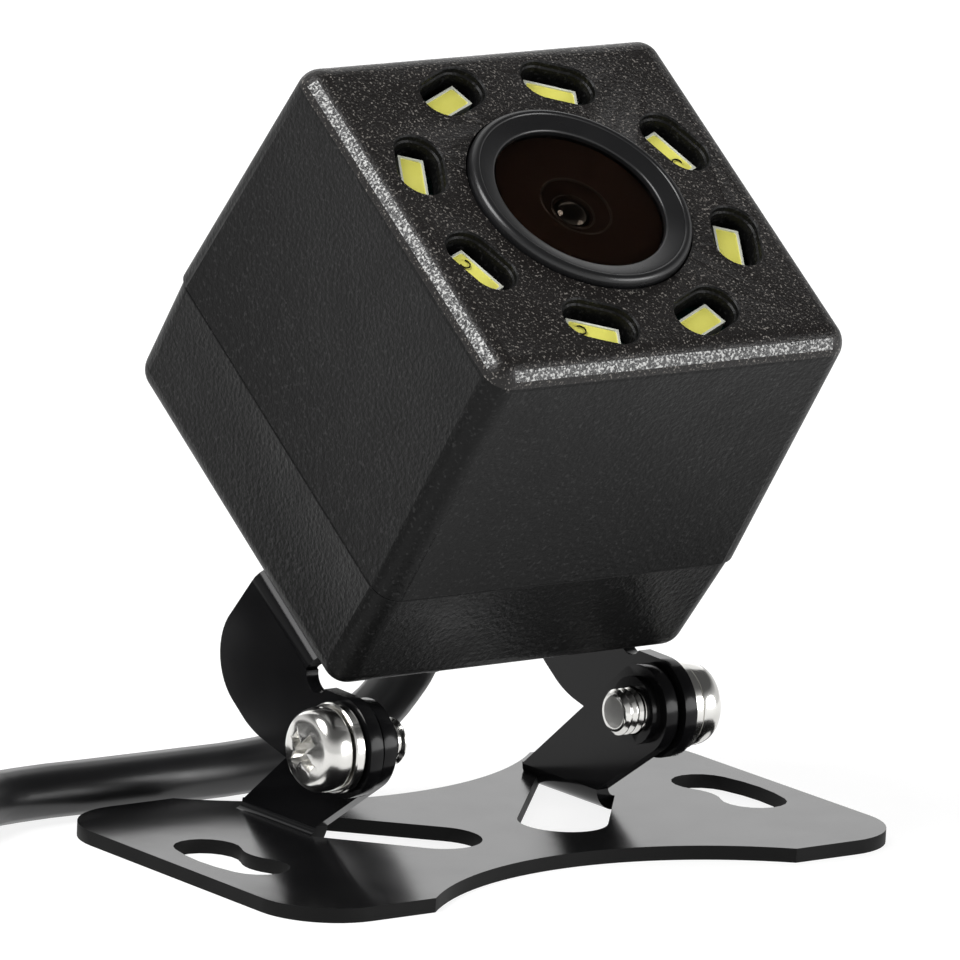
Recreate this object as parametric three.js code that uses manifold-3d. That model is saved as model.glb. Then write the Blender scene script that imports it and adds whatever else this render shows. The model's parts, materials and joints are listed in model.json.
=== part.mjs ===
// Backup camera on a tilting two-piece sheet-metal bracket, in millimetres, +Z up.
// The origin is the middle of the base plate's underside. +X runs along the tilt axis and the lens looks
// towards -Y and up. The camera and its yoke are one group that turns on the tilt axis.
import * as THREE from "three";
import { mergeVertices } from "three/addons/utils/BufferGeometryUtils.js";
import Module from "manifold-3d";

const wasm = await Module();
wasm.setup();

// ---- Clearances ----
const seatGap = 0.25; // between still pieces that rest on or sit in each other
const runGap = 0.06; // radial, between the pivot screws and the yoke that turns on them
const sideGap = 0.3; // between the yoke ears and the base ears
const stackGap = 0.1; // along the screw, between head, washer and yoke
const overlap = 0.05; // how far the stretches of one folded sheet run into each other

// ---- Housing: a square block with slightly drafted sides ----
const faceWidth = 24.0;
const faceHeight = 23.54;
const partingWidth = 24.39;
const partingHeight = 24.81;
const coverStep = 0.1; // the rear cover is this much smaller all round
const rearWidth = 23.84;
const rearHeight = 24.1;
const shellDepth = 16.92;
const coverDepth = 7.69;
const edgeRadius = 1.33; // front and rear edges
const leastRadius = 0.15;
const cornerRadius = 1.5; // long edges
const faceWall = 1.5;
const sideWall = 1.6;
const rearWall = 1.6;
const innerCornerRadius = 1.0;
const lipHeight = 2.0;
const lipWall = 0.9;
const rimWidth = 0.6;
const sealHeight = 0.6;
const bossRadius = 2.2;
const bossHeight = 2.5;

// ---- Lens ----
const bezelRadius = 6.5;
const bezelRise = 0.55;
const bezelRecess = 0.3;
const bezelRound = 0.25; // the ring's rounded outer edge: its height
const bezelRoundIn = 0.07;
const bezelRoundTop = 0.1;
const bezelCrown = 0.03;
const bezelMouthDrop = 0.08;
const bezelBevelOuter = 6.3;
const bezelBevelInner = 5.15;
const openingRadius = 5.0;
const spigotRadius = 5.7;
const ledgeRadius = 4.2;
const ledgeDepth = 2.25;
const spigotDepth = 3.2;
const frontLensRise = 0.2;
const frontLensSag = 1.1;
const frontLensEdge = 1.1;
const frontLensHollowRadius = 3.0;
const frontLensHollow = 0.9;
const barrelStandOff = 0.5;
const barrelRadius = 4.6;
const barrelBore = 3.3;
const barrelTopWall = 1.2;
const apertureRadius = 1.95;
const innerLensThickness = 2.0;
const innerLensEdge = 0.8;
const holderWidth = 13.0;
const holderBase = 2.0;
const holderTubeRadius = 6.2;
const holderOverlap = 5.0; // length of barrel that is screwed into the holder

// ---- Lights: eight small white LEDs, each in its own slot ----
const ledCount = 8;
const ledEdgeMargin = 2.47; // from the LED circle to the nearer edge of the face
const ledLength = 3.1;
const ledWidth = 1.5;
const ledHeight = 0.8;
const ledDepth = 1.0; // top of the LED below the face
const ledFrame = 0.22;
const ledPocket = 0.12;
const slotLength = 4.2;
const slotWidth = 2.6;
const slotFlare = 0.25;
const slotFlareDepth = 0.35;
const firstLedAngle = 112.5;

// ---- Boards ----
const ledBoardThickness = 1.0;
const ledBoardHole = 6.4;
const mainBoardThickness = 1.2;
const mainBoardSetback = 1.3; // from the parting to the front of the main board
const sensorSize = [5.6, 5.2, 0.8];
const processorSize = [7.0, 7.0, 0.9];
const processorHeightOnBoard = 4.0;
const headerWall = 0.8;
const headerSocketDepth = 1.5;
const headerSize = [8.0, 4.2, 3.3];
const pinStripSize = [7.6, 1.6];
const pinStripDrop = 8.4;

// ---- Bracket ----
const sheet = 0.8;
const bendInside = 0.5;
const earOuter = 10.0; // outer face of each base ear from the middle
const earEndRadius = 2.5;
const earFootFront = 1.95;
const earFootBack = 8.8;
const pivotY = -1.47;
const pivotHeight = 6.59;
const pivotBelowCover = 1.9; // the tilt axis lies below the rear cover's lower side
const pivotInset = 2.28; // and in front of its rear face, measured square to it
const cameraPitch = 35.34; // turn of the camera about the tilt axis from lens straight up
const collarRadius = 1.9;
const collarLength = 0.5;

const plateHalfLength = 20.7;
const plateHalfWidth = 12.13;
const waistStart = 12.26; // the waist's curve starts at this x on each side
const waistHalfWidth = 7.5;
const plateCornerRadius = 4.2;
const slotLobeRadius = 1.85;
const slotLobeX = 17.0;
const slotLobeY = 2.25;
const slotNeckRadius = 2.5;
const slotOuterRadius = 10.0;
const windowEndX = 4.3;
const windowEndY = -1.45;

const yokeBendOutside = 1.2;
const yokeFoldBottom = 4.95; // lower end of the fold, from the tilt axis up the housing
const yokeFoldTop = 11.45;
const yokeEndRadius = 2.8;
const yokeCheekRadius = 3.2;
const yokeCheekTop = 11.7;
const yokeCheekReach = 5.52; // how far the ear's cheek stands behind the tilt axis plane
const yokeReliefRadius = 0.95;
const yokeHubRadius = 4.7;

// ---- Fasteners ----
const pivotThreadRadius = 1.3;
const pivotThreadEnd = 7.43; // end of each pivot screw from the middle
const pivotHeadRadius = 2.33;
const pivotHeadHeight = 1.85;
const washerRadius = 2.5;
const washerThickness = 0.65;
const yokeScrewX = 7.0;
const yokeScrewRadius = 0.95;
const yokeScrewHeadRadius = 1.8;
const yokeScrewHeadHeight = 1.2;
const yokeScrewReach = 3.4; // length of thread inside the rear cover
const screwEdgeShare = 0.6; // how much of a head's height its straight edge takes
const screwCrownShare = 0.85;
const screwPoint = 0.25;
const screwPointLength = 0.3;
const recessShare = 1.1; // length of the recess over the head radius
const recessArm = 0.45;
const recessDepth = 0.9;

// ---- Cable ----
const cableRadius = 1.5;
const cableDrop = 5.75; // cable axis below the middle of the housing
const grommetRadius = 2.4;
const grommetFlangeRadius = 3.2;
const grommetFlange = 0.8;
const grommetStandOff = 0.35; // how far the grommet reaches past the yoke
const reliefLength = 3.3;
const reliefRootRadius = 2.3;
const reliefTipRadius = 1.85;

const cableRoute = [
  [-0.5, 9.55, 5.3],
  [-1.7, 10.9, 3.75],
  [-3.9, 12.3, 2.35],
  [-6.9, 13.4, 1.7],
  [-10.4, 13.85, 1.55],
  [-14.0, 13.9, 1.55],
  [-17.4, 13.95, 1.55],
  [-20.4, 14.0, 1.55],
];
const cableSides = 8;
const cableStep = 2.5; // one step of the tube for this many radii

const coilX = -43.5;
const coilY = 24.0;
const coilMeanRadius = 15.0;
const coilColumns = 4;
const coilLayers = 2;
const coilPitch = 3.05;
const tieAngle = 100;
const tieWidth = 5.0;
const tieThickness = 0.7;

// The plug lies across the coil; its place is from the coil's centre and its tail is at +X.
const plugTailX = 8.95;
const plugY = -4.0;
const plugStraight = 1.2; // straight cable before the tail
const plugBendRadius = 8.0; // the cable bends this much on its way to the plug
const plugBendFrom = -5; // angle at which the bend is clear of the coil's top
const plugBendLift = 1.75; // height of the cable's axis over the coil there
const plugTailLength = 6.0;
const plugTailRadius = 2.2;
const plugBodyRadius = 4.0;
const plugBodyLength = 11.0;
const plugNeckRadius = 3.0;
const plugNeckLength = 3.0;
const plugCollarRadius = 4.9;
const plugCollarLength = 8.0;
const plugCollarWall = 1.0;
const plugCollarRibs = 16;
const plugInsertRadius = 3.2;
const plugInsertLength = 5.0;
const plugPinRadius = 0.5;
const plugPinRing = 1.7;
const plugPinDepth = 2.5;
const plugShoulder = 0.5;
const plugShoulderLength = 0.6;
const plugRibDepth = 0.35;

// ---- Finishes ----
const finishes = {
  housing: { color: "#262627", roughness: 0.55, metalness: 0 },
  bracket: { color: "#141415", roughness: 0.18, metalness: 0 },
  nickel: { color: "#c9c7c2", roughness: 0.25, metalness: 1 },
  bezel: { color: "#1a1918", roughness: 0.4, metalness: 0 },
  glass: { color: "#0b0a08", roughness: 0.05, metalness: 0 },
  board: { color: "#1d5a3c", roughness: 0.5, metalness: 0 },
  led: { color: "#e4e0b0", roughness: 0.45, metalness: 0 },
  rubber: { color: "#1a1a1b", roughness: 0.6, metalness: 0 },
  moulding: { color: "#e8e4d8", roughness: 0.5, metalness: 0 },
  chip: { color: "#202224", roughness: 0.4, metalness: 0 },
};

// ---- Derived places ----
const housingDepth = shellDepth + coverDepth;
const pivotDrop = rearHeight / 2 + pivotBelowCover;
const faceOffset = housingDepth + pivotInset;
const cableUp = pivotDrop - cableDrop; // cable axis from the tilt axis, up the housing
const ledCircle = Math.min(faceWidth, faceHeight) / 2 - ledEdgeMargin;
const mainBoardDepth = shellDepth - mainBoardSetback;
const ledBoardDepth = ledDepth + ledHeight + seatGap;
const yokeInner = earOuter + sideGap;
const yokeOuter = yokeInner + sheet;
const yokeWebFront = pivotInset - seatGap;
const yokeWebBack = yokeWebFront - sheet;
const washerInner = yokeOuter + stackGap;
const pivotHeadSeat = washerInner + washerThickness + stackGap;
const reliefStart = seatGap + sheet + grommetStandOff + seatGap; // behind the rear face
const reliefEnd = reliefStart + reliefLength;
const coilOuterRadius = coilMeanRadius + (coilColumns * coilPitch) / 2;
const coilInnerRadius = coilMeanRadius - (coilColumns * coilPitch) / 2;
const coilHeight = coilLayers * coilPitch;
const plugAxisHeight = coilHeight + seatGap + plugCollarRadius;

// ---- Plane shapes ----

// Points along an arc, both ends included; angles in degrees, counter-clockwise when to > from.
function arc(centreX, centreY, radius, from, to, steps) {
  return Array.from({ length: steps + 1 }, (_, i) => {
    const angle = THREE.MathUtils.degToRad(from + ((to - from) * i) / steps);
    return new THREE.Vector2(centreX + radius * Math.cos(angle), centreY + radius * Math.sin(angle));
  });
}

function circle(radius, sides, centreX = 0, centreY = 0) {
  return arc(centreX, centreY, radius, 0, 360, sides).slice(0, -1);
}

function roundedRectangle(width, height, radius, steps = 4) {
  const x = width / 2 - radius;
  const y = height / 2 - radius;
  return [
    ...arc(x, y, radius, 0, 90, steps),
    ...arc(-x, y, radius, 90, 180, steps),
    ...arc(-x, -y, radius, 180, 270, steps),
    ...arc(x, -y, radius, 270, 360, steps),
  ];
}

// A slot with round ends, its long way along X.
function stadium(length, width, steps = 6) {
  const reach = (length - width) / 2;
  return [...arc(reach, 0, width / 2, -90, 90, steps), ...arc(-reach, 0, width / 2, 90, 270, steps)];
}

// Where the two tangents from a point touch a circle: left of the way in, then right of it.
function tangentPoints(from, centre, radius) {
  const way = new THREE.Vector2().subVectors(from, centre);
  const spread = Math.acos(radius / way.length());
  return [-spread, spread].map((turn) => {
    const angle = way.angle() + turn;
    return new THREE.Vector2(centre.x + radius * Math.cos(angle), centre.y + radius * Math.sin(angle));
  });
}

function degreesOf(point, centre) {
  return THREE.MathUtils.radToDeg(Math.atan2(point.y - centre.y, point.x - centre.x));
}

// ---- Solids ----

function solid(geometry) {
  const bare = geometry.clone();
  bare.deleteAttribute("normal");
  bare.deleteAttribute("uv");
  const merged = mergeVertices(bare, 1e-4);
  return new wasm.Manifold(
    new wasm.Mesh({
      numProp: 3,
      vertProperties: merged.attributes.position.array,
      triVerts: Uint32Array.from(merged.index.array),
    })
  );
}

function geometryOf(manifold) {
  const { vertProperties, triVerts } = manifold.getMesh();
  const geometry = new THREE.BufferGeometry();
  geometry.setAttribute("position", new THREE.BufferAttribute(vertProperties, 3));
  geometry.setIndex(new THREE.BufferAttribute(triVerts, 1));
  return geometry;
}

const join = (...parts) => geometryOf(parts.map(solid).reduce((whole, part) => whole.add(part)));

const cut = (part, ...tools) =>
  geometryOf(tools.map(solid).reduce((rest, tool) => rest.subtract(tool), solid(part)));

// An outline pulled up from z = 0, with any holes.
function prism(outline, height, holes = []) {
  const shape = new THREE.Shape(outline);
  shape.holes = holes.map((hole) => new THREE.Path(hole));
  return new THREE.ExtrudeGeometry(shape, { depth: height, bevelEnabled: false });
}

// A prism whose outline lies in the YZ plane, pulled along +X from x = 0.
function sidePrism(outline, thickness) {
  return prism(outline, thickness).applyMatrix4(
    new THREE.Matrix4().makeBasis(
      new THREE.Vector3(0, 1, 0),
      new THREE.Vector3(0, 0, 1),
      new THREE.Vector3(1, 0, 0)
    )
  );
}

// A prism whose outline lies in the XZ plane, pulled along +Y from y = 0.
function lengthPrism(outline, length) {
  return prism(outline, length).rotateX(Math.PI / 2).translate(0, length, 0);
}

// Rings of equal point counts joined from low to high, closed flat at both ends.
function loft(sections) {
  const count = sections[0].outline.length;
  const positions = sections.flatMap(({ outline, z }) => outline.flatMap((point) => [point.x, point.y, z]));
  const index = [];
  for (let level = 0; level < sections.length - 1; level += 1) {
    for (let i = 0; i < count; i += 1) {
      const a = level * count + i;
      const b = level * count + ((i + 1) % count);
      index.push(a, b, b + count, a, b + count, a + count);
    }
  }
  const top = (sections.length - 1) * count;
  for (let i = 1; i < count - 1; i += 1) {
    index.push(0, i + 1, i);
    index.push(top, top + i, top + i + 1);
  }
  const geometry = new THREE.BufferGeometry();
  geometry.setAttribute("position", new THREE.Float32BufferAttribute(positions, 3));
  geometry.setIndex(index);
  return geometry;
}

// A turned shape about Z from [radius, z] points; a ring's profile closes on its first point.
function turned(profile, sides) {
  const points = profile.map(([radius, z]) => new THREE.Vector2(radius, z));
  if (THREE.ShapeUtils.area(points) < 0) {
    points.reverse();
  }
  return new THREE.LatheGeometry(points, sides).rotateX(Math.PI / 2);
}

const ring = (profile, sides) => turned([...profile, profile[0]], sides);

const rod = (radius, from, to, sides = 24) =>
  turned([[0, from], [radius, from], [radius, to], [0, to]], sides);

function block([width, depth, height], x, y, lowZ) {
  return new THREE.BoxGeometry(width, depth, height).translate(x, y, lowZ + height / 2);
}

// A plain tube along a line of points, with flat ends square to it.
function cordTube(points) {
  const path = new THREE.CatmullRomCurve3(points.map((point) => new THREE.Vector3(...point)));
  const steps = Math.ceil(path.getLength() / (cableStep * cableRadius));
  return new THREE.ExtrudeGeometry(new THREE.Shape(circle(cableRadius, cableSides)), {
    steps,
    bevelEnabled: false,
    extrudePath: path,
  });
}

// ---- Housing pieces, in a frame on the middle of the front face with +Z out of it ----

function shellSize(depth) {
  const share = depth / shellDepth;
  return {
    width: faceWidth + (partingWidth - faceWidth) * share,
    height: faceHeight + (partingHeight - faceHeight) * share,
  };
}

function coverSize(depth) {
  const share = (depth - shellDepth) / coverDepth;
  const width = partingWidth - 2 * coverStep;
  const height = partingHeight - 2 * coverStep;
  return { width: width + (rearWidth - width) * share, height: height + (rearHeight - height) * share };
}

// One level of the block, drawn in all round; its corner radius shrinks with it.
function level(size, depth, inset, radius = Math.max(cornerRadius - inset, leastRadius)) {
  return { z: -depth, outline: roundedRectangle(size.width - 2 * inset, size.height - 2 * inset, radius) };
}

// The levels of a rounded edge from the block's side towards its end face.
function roundedEnd(sizeAt, endDepth, towardsEnd, steps = 4) {
  return Array.from({ length: steps + 1 }, (_, i) => {
    const angle = (Math.PI / 2) * (i / steps);
    const depth = endDepth - towardsEnd * edgeRadius * (1 - Math.sin(angle));
    return level(sizeAt(depth), depth, edgeRadius * (1 - Math.cos(angle)));
  });
}

function ledPlaces() {
  return Array.from({ length: ledCount }, (_, i) => {
    const degrees = firstLedAngle - (360 / ledCount) * i;
    const angle = THREE.MathUtils.degToRad(degrees);
    return {
      name: `led_${i + 1}`,
      x: ledCircle * Math.cos(angle),
      y: ledCircle * Math.sin(angle),
      turn: angle + Math.PI / 2,
    };
  });
}

// A through slot for one LED, flared at the face.
function ledSlot({ x, y, turn }) {
  const mouth = stadium(slotLength + 2 * slotFlare, slotWidth + 2 * slotFlare);
  const throat = stadium(slotLength, slotWidth);
  return loft([
    { z: -faceWall - 1, outline: throat },
    { z: -slotFlareDepth, outline: throat },
    { z: 0, outline: mouth },
    { z: 1, outline: mouth },
  ])
    .rotateZ(turn)
    .translate(x, y, 0);
}

function frontShell() {
  const outer = loft([level(shellSize(shellDepth), shellDepth, 0), ...roundedEnd(shellSize, 0, -1)]);
  const cavity = loft([
    level(shellSize(shellDepth), shellDepth + 1, sideWall, innerCornerRadius),
    level(shellSize(faceWall), faceWall, sideWall, innerCornerRadius),
  ]);
  const bezelSeat = rod(bezelRadius + stackGap, -bezelRecess, 1, 48);
  const bezelHole = rod(spigotRadius + seatGap, -faceWall - 1, 1, 48);
  return cut(outer, cavity, bezelSeat, bezelHole, ...ledPlaces().map(ledSlot));
}

// The lip's outside stands clear of the front shell's inside.
const lipInset = sideWall + seatGap;
const lipInnerInset = lipInset + lipWall;

function rearCover() {
  const parting = shellDepth + seatGap;
  const rounded = roundedEnd(coverSize, housingDepth, 1).reverse();
  const outer = loft([...rounded, level(coverSize(parting), parting, 0)]);
  const lip = loft([
    level(shellSize(shellDepth), parting + sealHeight + 1, lipInset, innerCornerRadius),
    level(shellSize(shellDepth), shellDepth - lipHeight, lipInset, innerCornerRadius),
  ]);
  const cavity = loft([
    level(shellSize(shellDepth), housingDepth - rearWall, lipInnerInset, innerCornerRadius),
    level(shellSize(shellDepth), shellDepth - lipHeight - 1, lipInnerInset, innerCornerRadius),
  ]);
  const grooveFloor = parting + sealHeight + seatGap;
  const groove = cut(
    loft([
      level(coverSize(parting), grooveFloor, rimWidth, innerCornerRadius),
      level(coverSize(parting), parting - 1, rimWidth, innerCornerRadius),
    ]),
    loft([
      level(shellSize(shellDepth), grooveFloor + 1, lipInset, innerCornerRadius),
      level(shellSize(shellDepth), parting - 2, lipInset, innerCornerRadius),
    ])
  );
  const bossTop = rearWall + bossHeight - housingDepth;
  const bosses = yokeScrewSides.map((side) =>
    rod(bossRadius, rearWall / 2 - housingDepth, bossTop).translate(side * yokeScrewX, -cableDrop, 0)
  );
  const threads = yokeScrewSides.map((side) =>
    rod(yokeScrewRadius + seatGap, -housingDepth - 1, bossTop + 1).translate(side * yokeScrewX, -cableDrop, 0)
  );
  const cableHole = rod(grommetRadius + seatGap, -housingDepth - 1, 1 + rearWall - housingDepth).translate(
    0,
    -cableDrop,
    0
  );
  const walls = cut(join(outer, lip), cavity, groove);
  return cut(join(walls, ...bosses), ...threads, cableHole);
}

function housingSeal() {
  const parting = shellDepth + seatGap;
  const outline = (inset, size) =>
    roundedRectangle(size.width - 2 * inset, size.height - 2 * inset, innerCornerRadius);
  return prism(outline(rimWidth + stackGap, coverSize(parting)), sealHeight - stackGap, [
    outline(lipInset - stackGap, shellSize(shellDepth)),
  ]).translate(0, 0, -parting - sealHeight);
}

function lensBezel() {
  const seat = stackGap - bezelRecess;
  return ring(
    [
      [ledgeRadius, -spigotDepth],
      [spigotRadius, -spigotDepth],
      [spigotRadius, seat],
      [bezelRadius, seat],
      [bezelRadius, bezelRise - bezelRound],
      [bezelRadius - bezelRoundIn, bezelRise - bezelRoundTop],
      [bezelBevelOuter, bezelRise - bezelCrown],
      [bezelBevelInner, bezelRise],
      [openingRadius, bezelRise - bezelMouthDrop],
      [openingRadius, -ledgeDepth],
      [ledgeRadius, -ledgeDepth],
    ],
    48
  );
}

// Points of a shallow arc from the axis out to a radius: z falls by sag.
function crown(radius, zMiddle, sag, steps = 6) {
  return Array.from({ length: steps + 1 }, (_, i) => {
    const share = i / steps;
    return [radius * share, zMiddle - sag * share * share];
  });
}

function frontLens() {
  const radius = openingRadius - seatGap;
  const edgeTop = frontLensRise - frontLensSag;
  const edgeBottom = Math.max(edgeTop - frontLensEdge, seatGap - ledgeDepth);
  const under = crown(frontLensHollowRadius, edgeBottom + frontLensHollow, frontLensHollow);
  const over = crown(radius, frontLensRise, frontLensSag).reverse();
  return turned([...under, [radius, edgeBottom], ...over], 32);
}

const barrelTop = -spigotDepth - seatGap;
const barrelBottom = -mainBoardDepth + sensorSize[2] + 2 * seatGap + barrelStandOff;

function lensBarrel() {
  return ring(
    [
      [apertureRadius, barrelTop],
      [apertureRadius, barrelTop - barrelTopWall / 2],
      [barrelBore, barrelTop - barrelTopWall],
      [barrelBore, barrelBottom],
      [barrelRadius, barrelBottom],
      [barrelRadius, barrelTop],
    ],
    32
  );
}

function innerLens() {
  const radius = barrelBore - seatGap;
  const top = barrelTop - barrelTopWall - seatGap;
  const belly = (innerLensThickness - innerLensEdge) / 2;
  return turned(
    [
      ...crown(radius, top - innerLensThickness, -belly, 4),
      ...crown(radius, top, belly, 4).reverse(),
    ],
    24
  );
}

function lensHolder() {
  const base = -mainBoardDepth + seatGap;
  const square = block([holderWidth, holderWidth, holderBase], 0, 0, base);
  const tube = rod(holderTubeRadius, base + holderBase / 2, barrelBottom + holderOverlap, 32);
  const bore = rod(barrelRadius + seatGap, base - 1, barrelBottom + holderOverlap + 1, 32);
  return cut(join(square, tube), bore);
}

function imageSensor() {
  return block(sensorSize, 0, 0, -mainBoardDepth + seatGap);
}

function mainBoard() {
  const size = shellSize(shellDepth);
  const inset = lipInnerInset + seatGap;
  const outline = roundedRectangle(size.width - 2 * inset, size.height - 2 * inset, innerCornerRadius);
  return prism(outline, mainBoardThickness).translate(0, 0, -mainBoardDepth - mainBoardThickness);
}

function ledBoard() {
  const size = shellSize(ledBoardDepth);
  const inset = sideWall + seatGap;
  const outline = roundedRectangle(size.width - 2 * inset, size.height - 2 * inset, innerCornerRadius);
  return prism(outline, ledBoardThickness, [circle(ledBoardHole, 32)]).translate(
    0,
    0,
    -ledBoardDepth - ledBoardThickness
  );
}

// A flat package with the phosphor's shallow pocket in its top.
function ledPackage({ x, y, turn }) {
  const body = block([ledLength, ledWidth, ledHeight], 0, 0, -ledDepth - ledHeight);
  const pocket = block(
    [ledLength - 2 * ledFrame, ledWidth - 2 * ledFrame, 1],
    0,
    0,
    -ledDepth - ledPocket
  );
  return cut(body, pocket).rotateZ(turn).translate(x, y, 0);
}

function pinStrip() {
  const low = -mainBoardDepth + seatGap;
  const high = -ledBoardDepth - ledBoardThickness - seatGap;
  return block([...pinStripSize, high - low], 0, -pinStripDrop, low);
}

function processorChip() {
  const face = -mainBoardDepth - mainBoardThickness - seatGap;
  return block(processorSize, 0, processorHeightOnBoard, face - processorSize[2]);
}

const headerBottom = -mainBoardDepth - mainBoardThickness - seatGap - headerSize[2];

// The wire socket, open at the back where the cable's wires go in.
function boardHeader() {
  const body = block(headerSize, 0, -cableDrop, headerBottom);
  const mouth = block(
    [headerSize[0] - 2 * headerWall, headerSize[1] - 2 * headerWall, 2 * headerSocketDepth],
    0,
    -cableDrop,
    headerBottom - headerSocketDepth
  );
  return cut(body, mouth);
}

// The stretch of cable inside the housing and its strain relief.
function cableInner() {
  return rod(cableRadius, -housingDepth - reliefEnd + seatGap, headerBottom - seatGap, 16).translate(
    0,
    -cableDrop,
    0
  );
}

function cableGrommet() {
  const bore = cableRadius + seatGap;
  const seat = rearWall + seatGap - housingDepth;
  const end = -housingDepth - seatGap - sheet - grommetStandOff;
  return ring(
    [
      [bore, end],
      [grommetRadius, end],
      [grommetRadius, seat],
      [grommetFlangeRadius, seat],
      [grommetFlangeRadius, seat + grommetFlange],
      [bore, seat + grommetFlange],
    ],
    24
  ).translate(0, -cableDrop, 0);
}

function strainRelief() {
  const bore = cableRadius + seatGap;
  const root = -housingDepth - reliefStart;
  const tip = -housingDepth - reliefEnd;
  return ring([[bore, tip], [reliefTipRadius, tip], [reliefRootRadius, root], [bore, root]], 24).translate(
    0,
    -cableDrop,
    0
  );
}

// ---- Yoke and its screws, in the camera group's frame on the tilt axis ----

const yokeScrewSides = [-1, 1];

// The ear's outline as (up the housing, out of its face).
function yokeEarOutline() {
  const pivot = new THREE.Vector2(0, 0);
  const bendStart = yokeWebFront - yokeBendOutside;
  const relief = new THREE.Vector2(yokeFoldBottom - yokeReliefRadius, bendStart + 0.5);
  const shoulder = new THREE.Vector2(relief.x - yokeReliefRadius, relief.y);
  const cheek = new THREE.Vector2(yokeCheekTop - yokeCheekRadius, yokeCheekRadius - yokeCheekReach);
  const kneeX = cheek.x - 0.7 * yokeCheekRadius;
  const knee = new THREE.Vector2(kneeX, -yokeCheekReach);
  const [kneeTouch] = tangentPoints(knee, pivot, yokeEndRadius).sort((p, q) => p.x - q.x);
  const [topTouch] = tangentPoints(shoulder, pivot, yokeEndRadius).sort((p, q) => q.y - p.y);
  const beforeKnee = new THREE.Vector2().lerpVectors(knee, cheek.clone().setY(-yokeCheekReach), 0.5);
  const afterKnee = new THREE.Vector2().lerpVectors(knee, kneeTouch, 0.16);
  const kneeCurve = new THREE.QuadraticBezierCurve(beforeKnee, knee, afterKnee).getPoints(8);
  const endFrom = degreesOf(kneeTouch, pivot);
  const endTo = degreesOf(topTouch, pivot) - 360;
  return [
    new THREE.Vector2(yokeFoldTop, bendStart),
    ...arc(cheek.x, cheek.y, yokeCheekRadius, 0, -90, 12),
    ...kneeCurve,
    ...arc(0, 0, yokeEndRadius, endFrom, endTo, 32),
    ...arc(relief.x, relief.y, yokeReliefRadius, -180, -30, 10),
    new THREE.Vector2(yokeFoldBottom, bendStart),
  ];
}

// The quarter bend between a sheet that lies flat and one that stands, as an XZ outline about its centre.
function bendOutline(innerRadius, from, to) {
  return [...arc(0, 0, innerRadius + sheet, from, to, 5), ...arc(0, 0, innerRadius, to, from, 5)];
}

function yoke() {
  const bendX = yokeOuter - yokeBendOutside;
  const bendZ = yokeWebFront - yokeBendOutside;
  const foldMiddle = (yokeFoldBottom + yokeFoldTop) / 2;
  const foldLength = yokeFoldTop - yokeFoldBottom;
  const band = block([2 * (bendX + overlap), foldLength, sheet], 0, foldMiddle, yokeWebBack);
  const hub = rod(yokeHubRadius, yokeWebBack, yokeWebFront, 32).translate(0, cableUp, 0);
  const ear = sidePrism(yokeEarOutline().reverse(), sheet);
  const bend = lengthPrism(bendOutline(yokeBendOutside - sheet, 0, 90), foldLength);
  const sides = yokeScrewSides.flatMap((side) => [
    ear.clone().translate(side > 0 ? yokeInner : -yokeOuter, 0, 0),
    (side > 0 ? bend.clone() : bend.clone().rotateZ(Math.PI).translate(0, foldLength, 0)).translate(
      side * bendX,
      yokeFoldBottom,
      bendZ
    ),
  ]);
  const hole = (radius, x) => rod(radius, yokeWebBack - 1, yokeWebFront + 1).translate(x, cableUp, 0);
  const pivotBore = rod(pivotThreadRadius + runGap, -yokeOuter - 1, yokeOuter + 1, 32).rotateY(Math.PI / 2);
  return cut(
    join(band, hub, ...sides),
    hole(grommetRadius + seatGap, 0),
    ...yokeScrewSides.map((side) => hole(yokeScrewRadius + seatGap, side * yokeScrewX)),
    pivotBore
  );
}

// A pan head screw along Z: the head stands on z = 0 and the thread runs down.
function panScrew(headRadius, headHeight, threadRadius, length) {
  const edge = screwEdgeShare * headHeight;
  const body = turned(
    [
      [0, -length],
      [threadRadius - screwPoint, -length],
      [threadRadius, -length + screwPointLength],
      [threadRadius, 0],
      [headRadius, 0],
      [headRadius, edge],
      [screwCrownShare * headRadius, screwCrownShare * headHeight],
      [headRadius / 2, headHeight],
      [0, headHeight],
    ],
    32
  );
  const armLength = recessShare * headRadius;
  const arms = [
    block([armLength, recessArm, 2], 0, 0, headHeight - recessDepth * (headHeight / pivotHeadHeight)),
    block([recessArm, armLength, 2], 0, 0, headHeight - recessDepth * (headHeight / pivotHeadHeight)),
  ];
  return cut(body, ...arms);
}

// Each yoke screw's head faces backwards.
function yokeScrew(side) {
  return panScrew(
    yokeScrewHeadRadius,
    yokeScrewHeadHeight,
    yokeScrewRadius,
    yokeScrewReach + sheet + 2 * seatGap
  )
    .rotateY(Math.PI)
    .translate(side * yokeScrewX, cableUp, yokeWebBack - seatGap);
}

// ---- Base pieces ----

function beanSlot(side) {
  const lobe = new THREE.Vector2(slotLobeX, slotLobeY);
  const neckReach = Math.sqrt((slotLobeRadius + slotNeckRadius) ** 2 - slotLobeY ** 2);
  const neck = new THREE.Vector2(slotLobeX - neckReach, 0);
  const outerReach = Math.sqrt((slotOuterRadius - slotLobeRadius) ** 2 - slotLobeY ** 2);
  const outer = new THREE.Vector2(slotLobeX - outerReach, 0);
  const outerAngle = degreesOf(lobe, outer);
  const neckAngle = degreesOf(lobe, neck);
  const half = [
    ...arc(outer.x, 0, slotOuterRadius, 0, outerAngle, 2).slice(0, -1),
    ...arc(lobe.x, lobe.y, slotLobeRadius, outerAngle, 180 + neckAngle, 10),
    ...arc(neck.x, 0, slotNeckRadius, neckAngle, 0, 3).slice(1),
  ];
  const mirrored = half
    .slice(1, -1)
    .reverse()
    .map((point) => new THREE.Vector2(point.x, -point.y));
  return [...half, ...mirrored].map((point) => new THREE.Vector2(side * point.x, point.y));
}

const foldX = earOuter + bendInside; // where each base ear's bend starts

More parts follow.
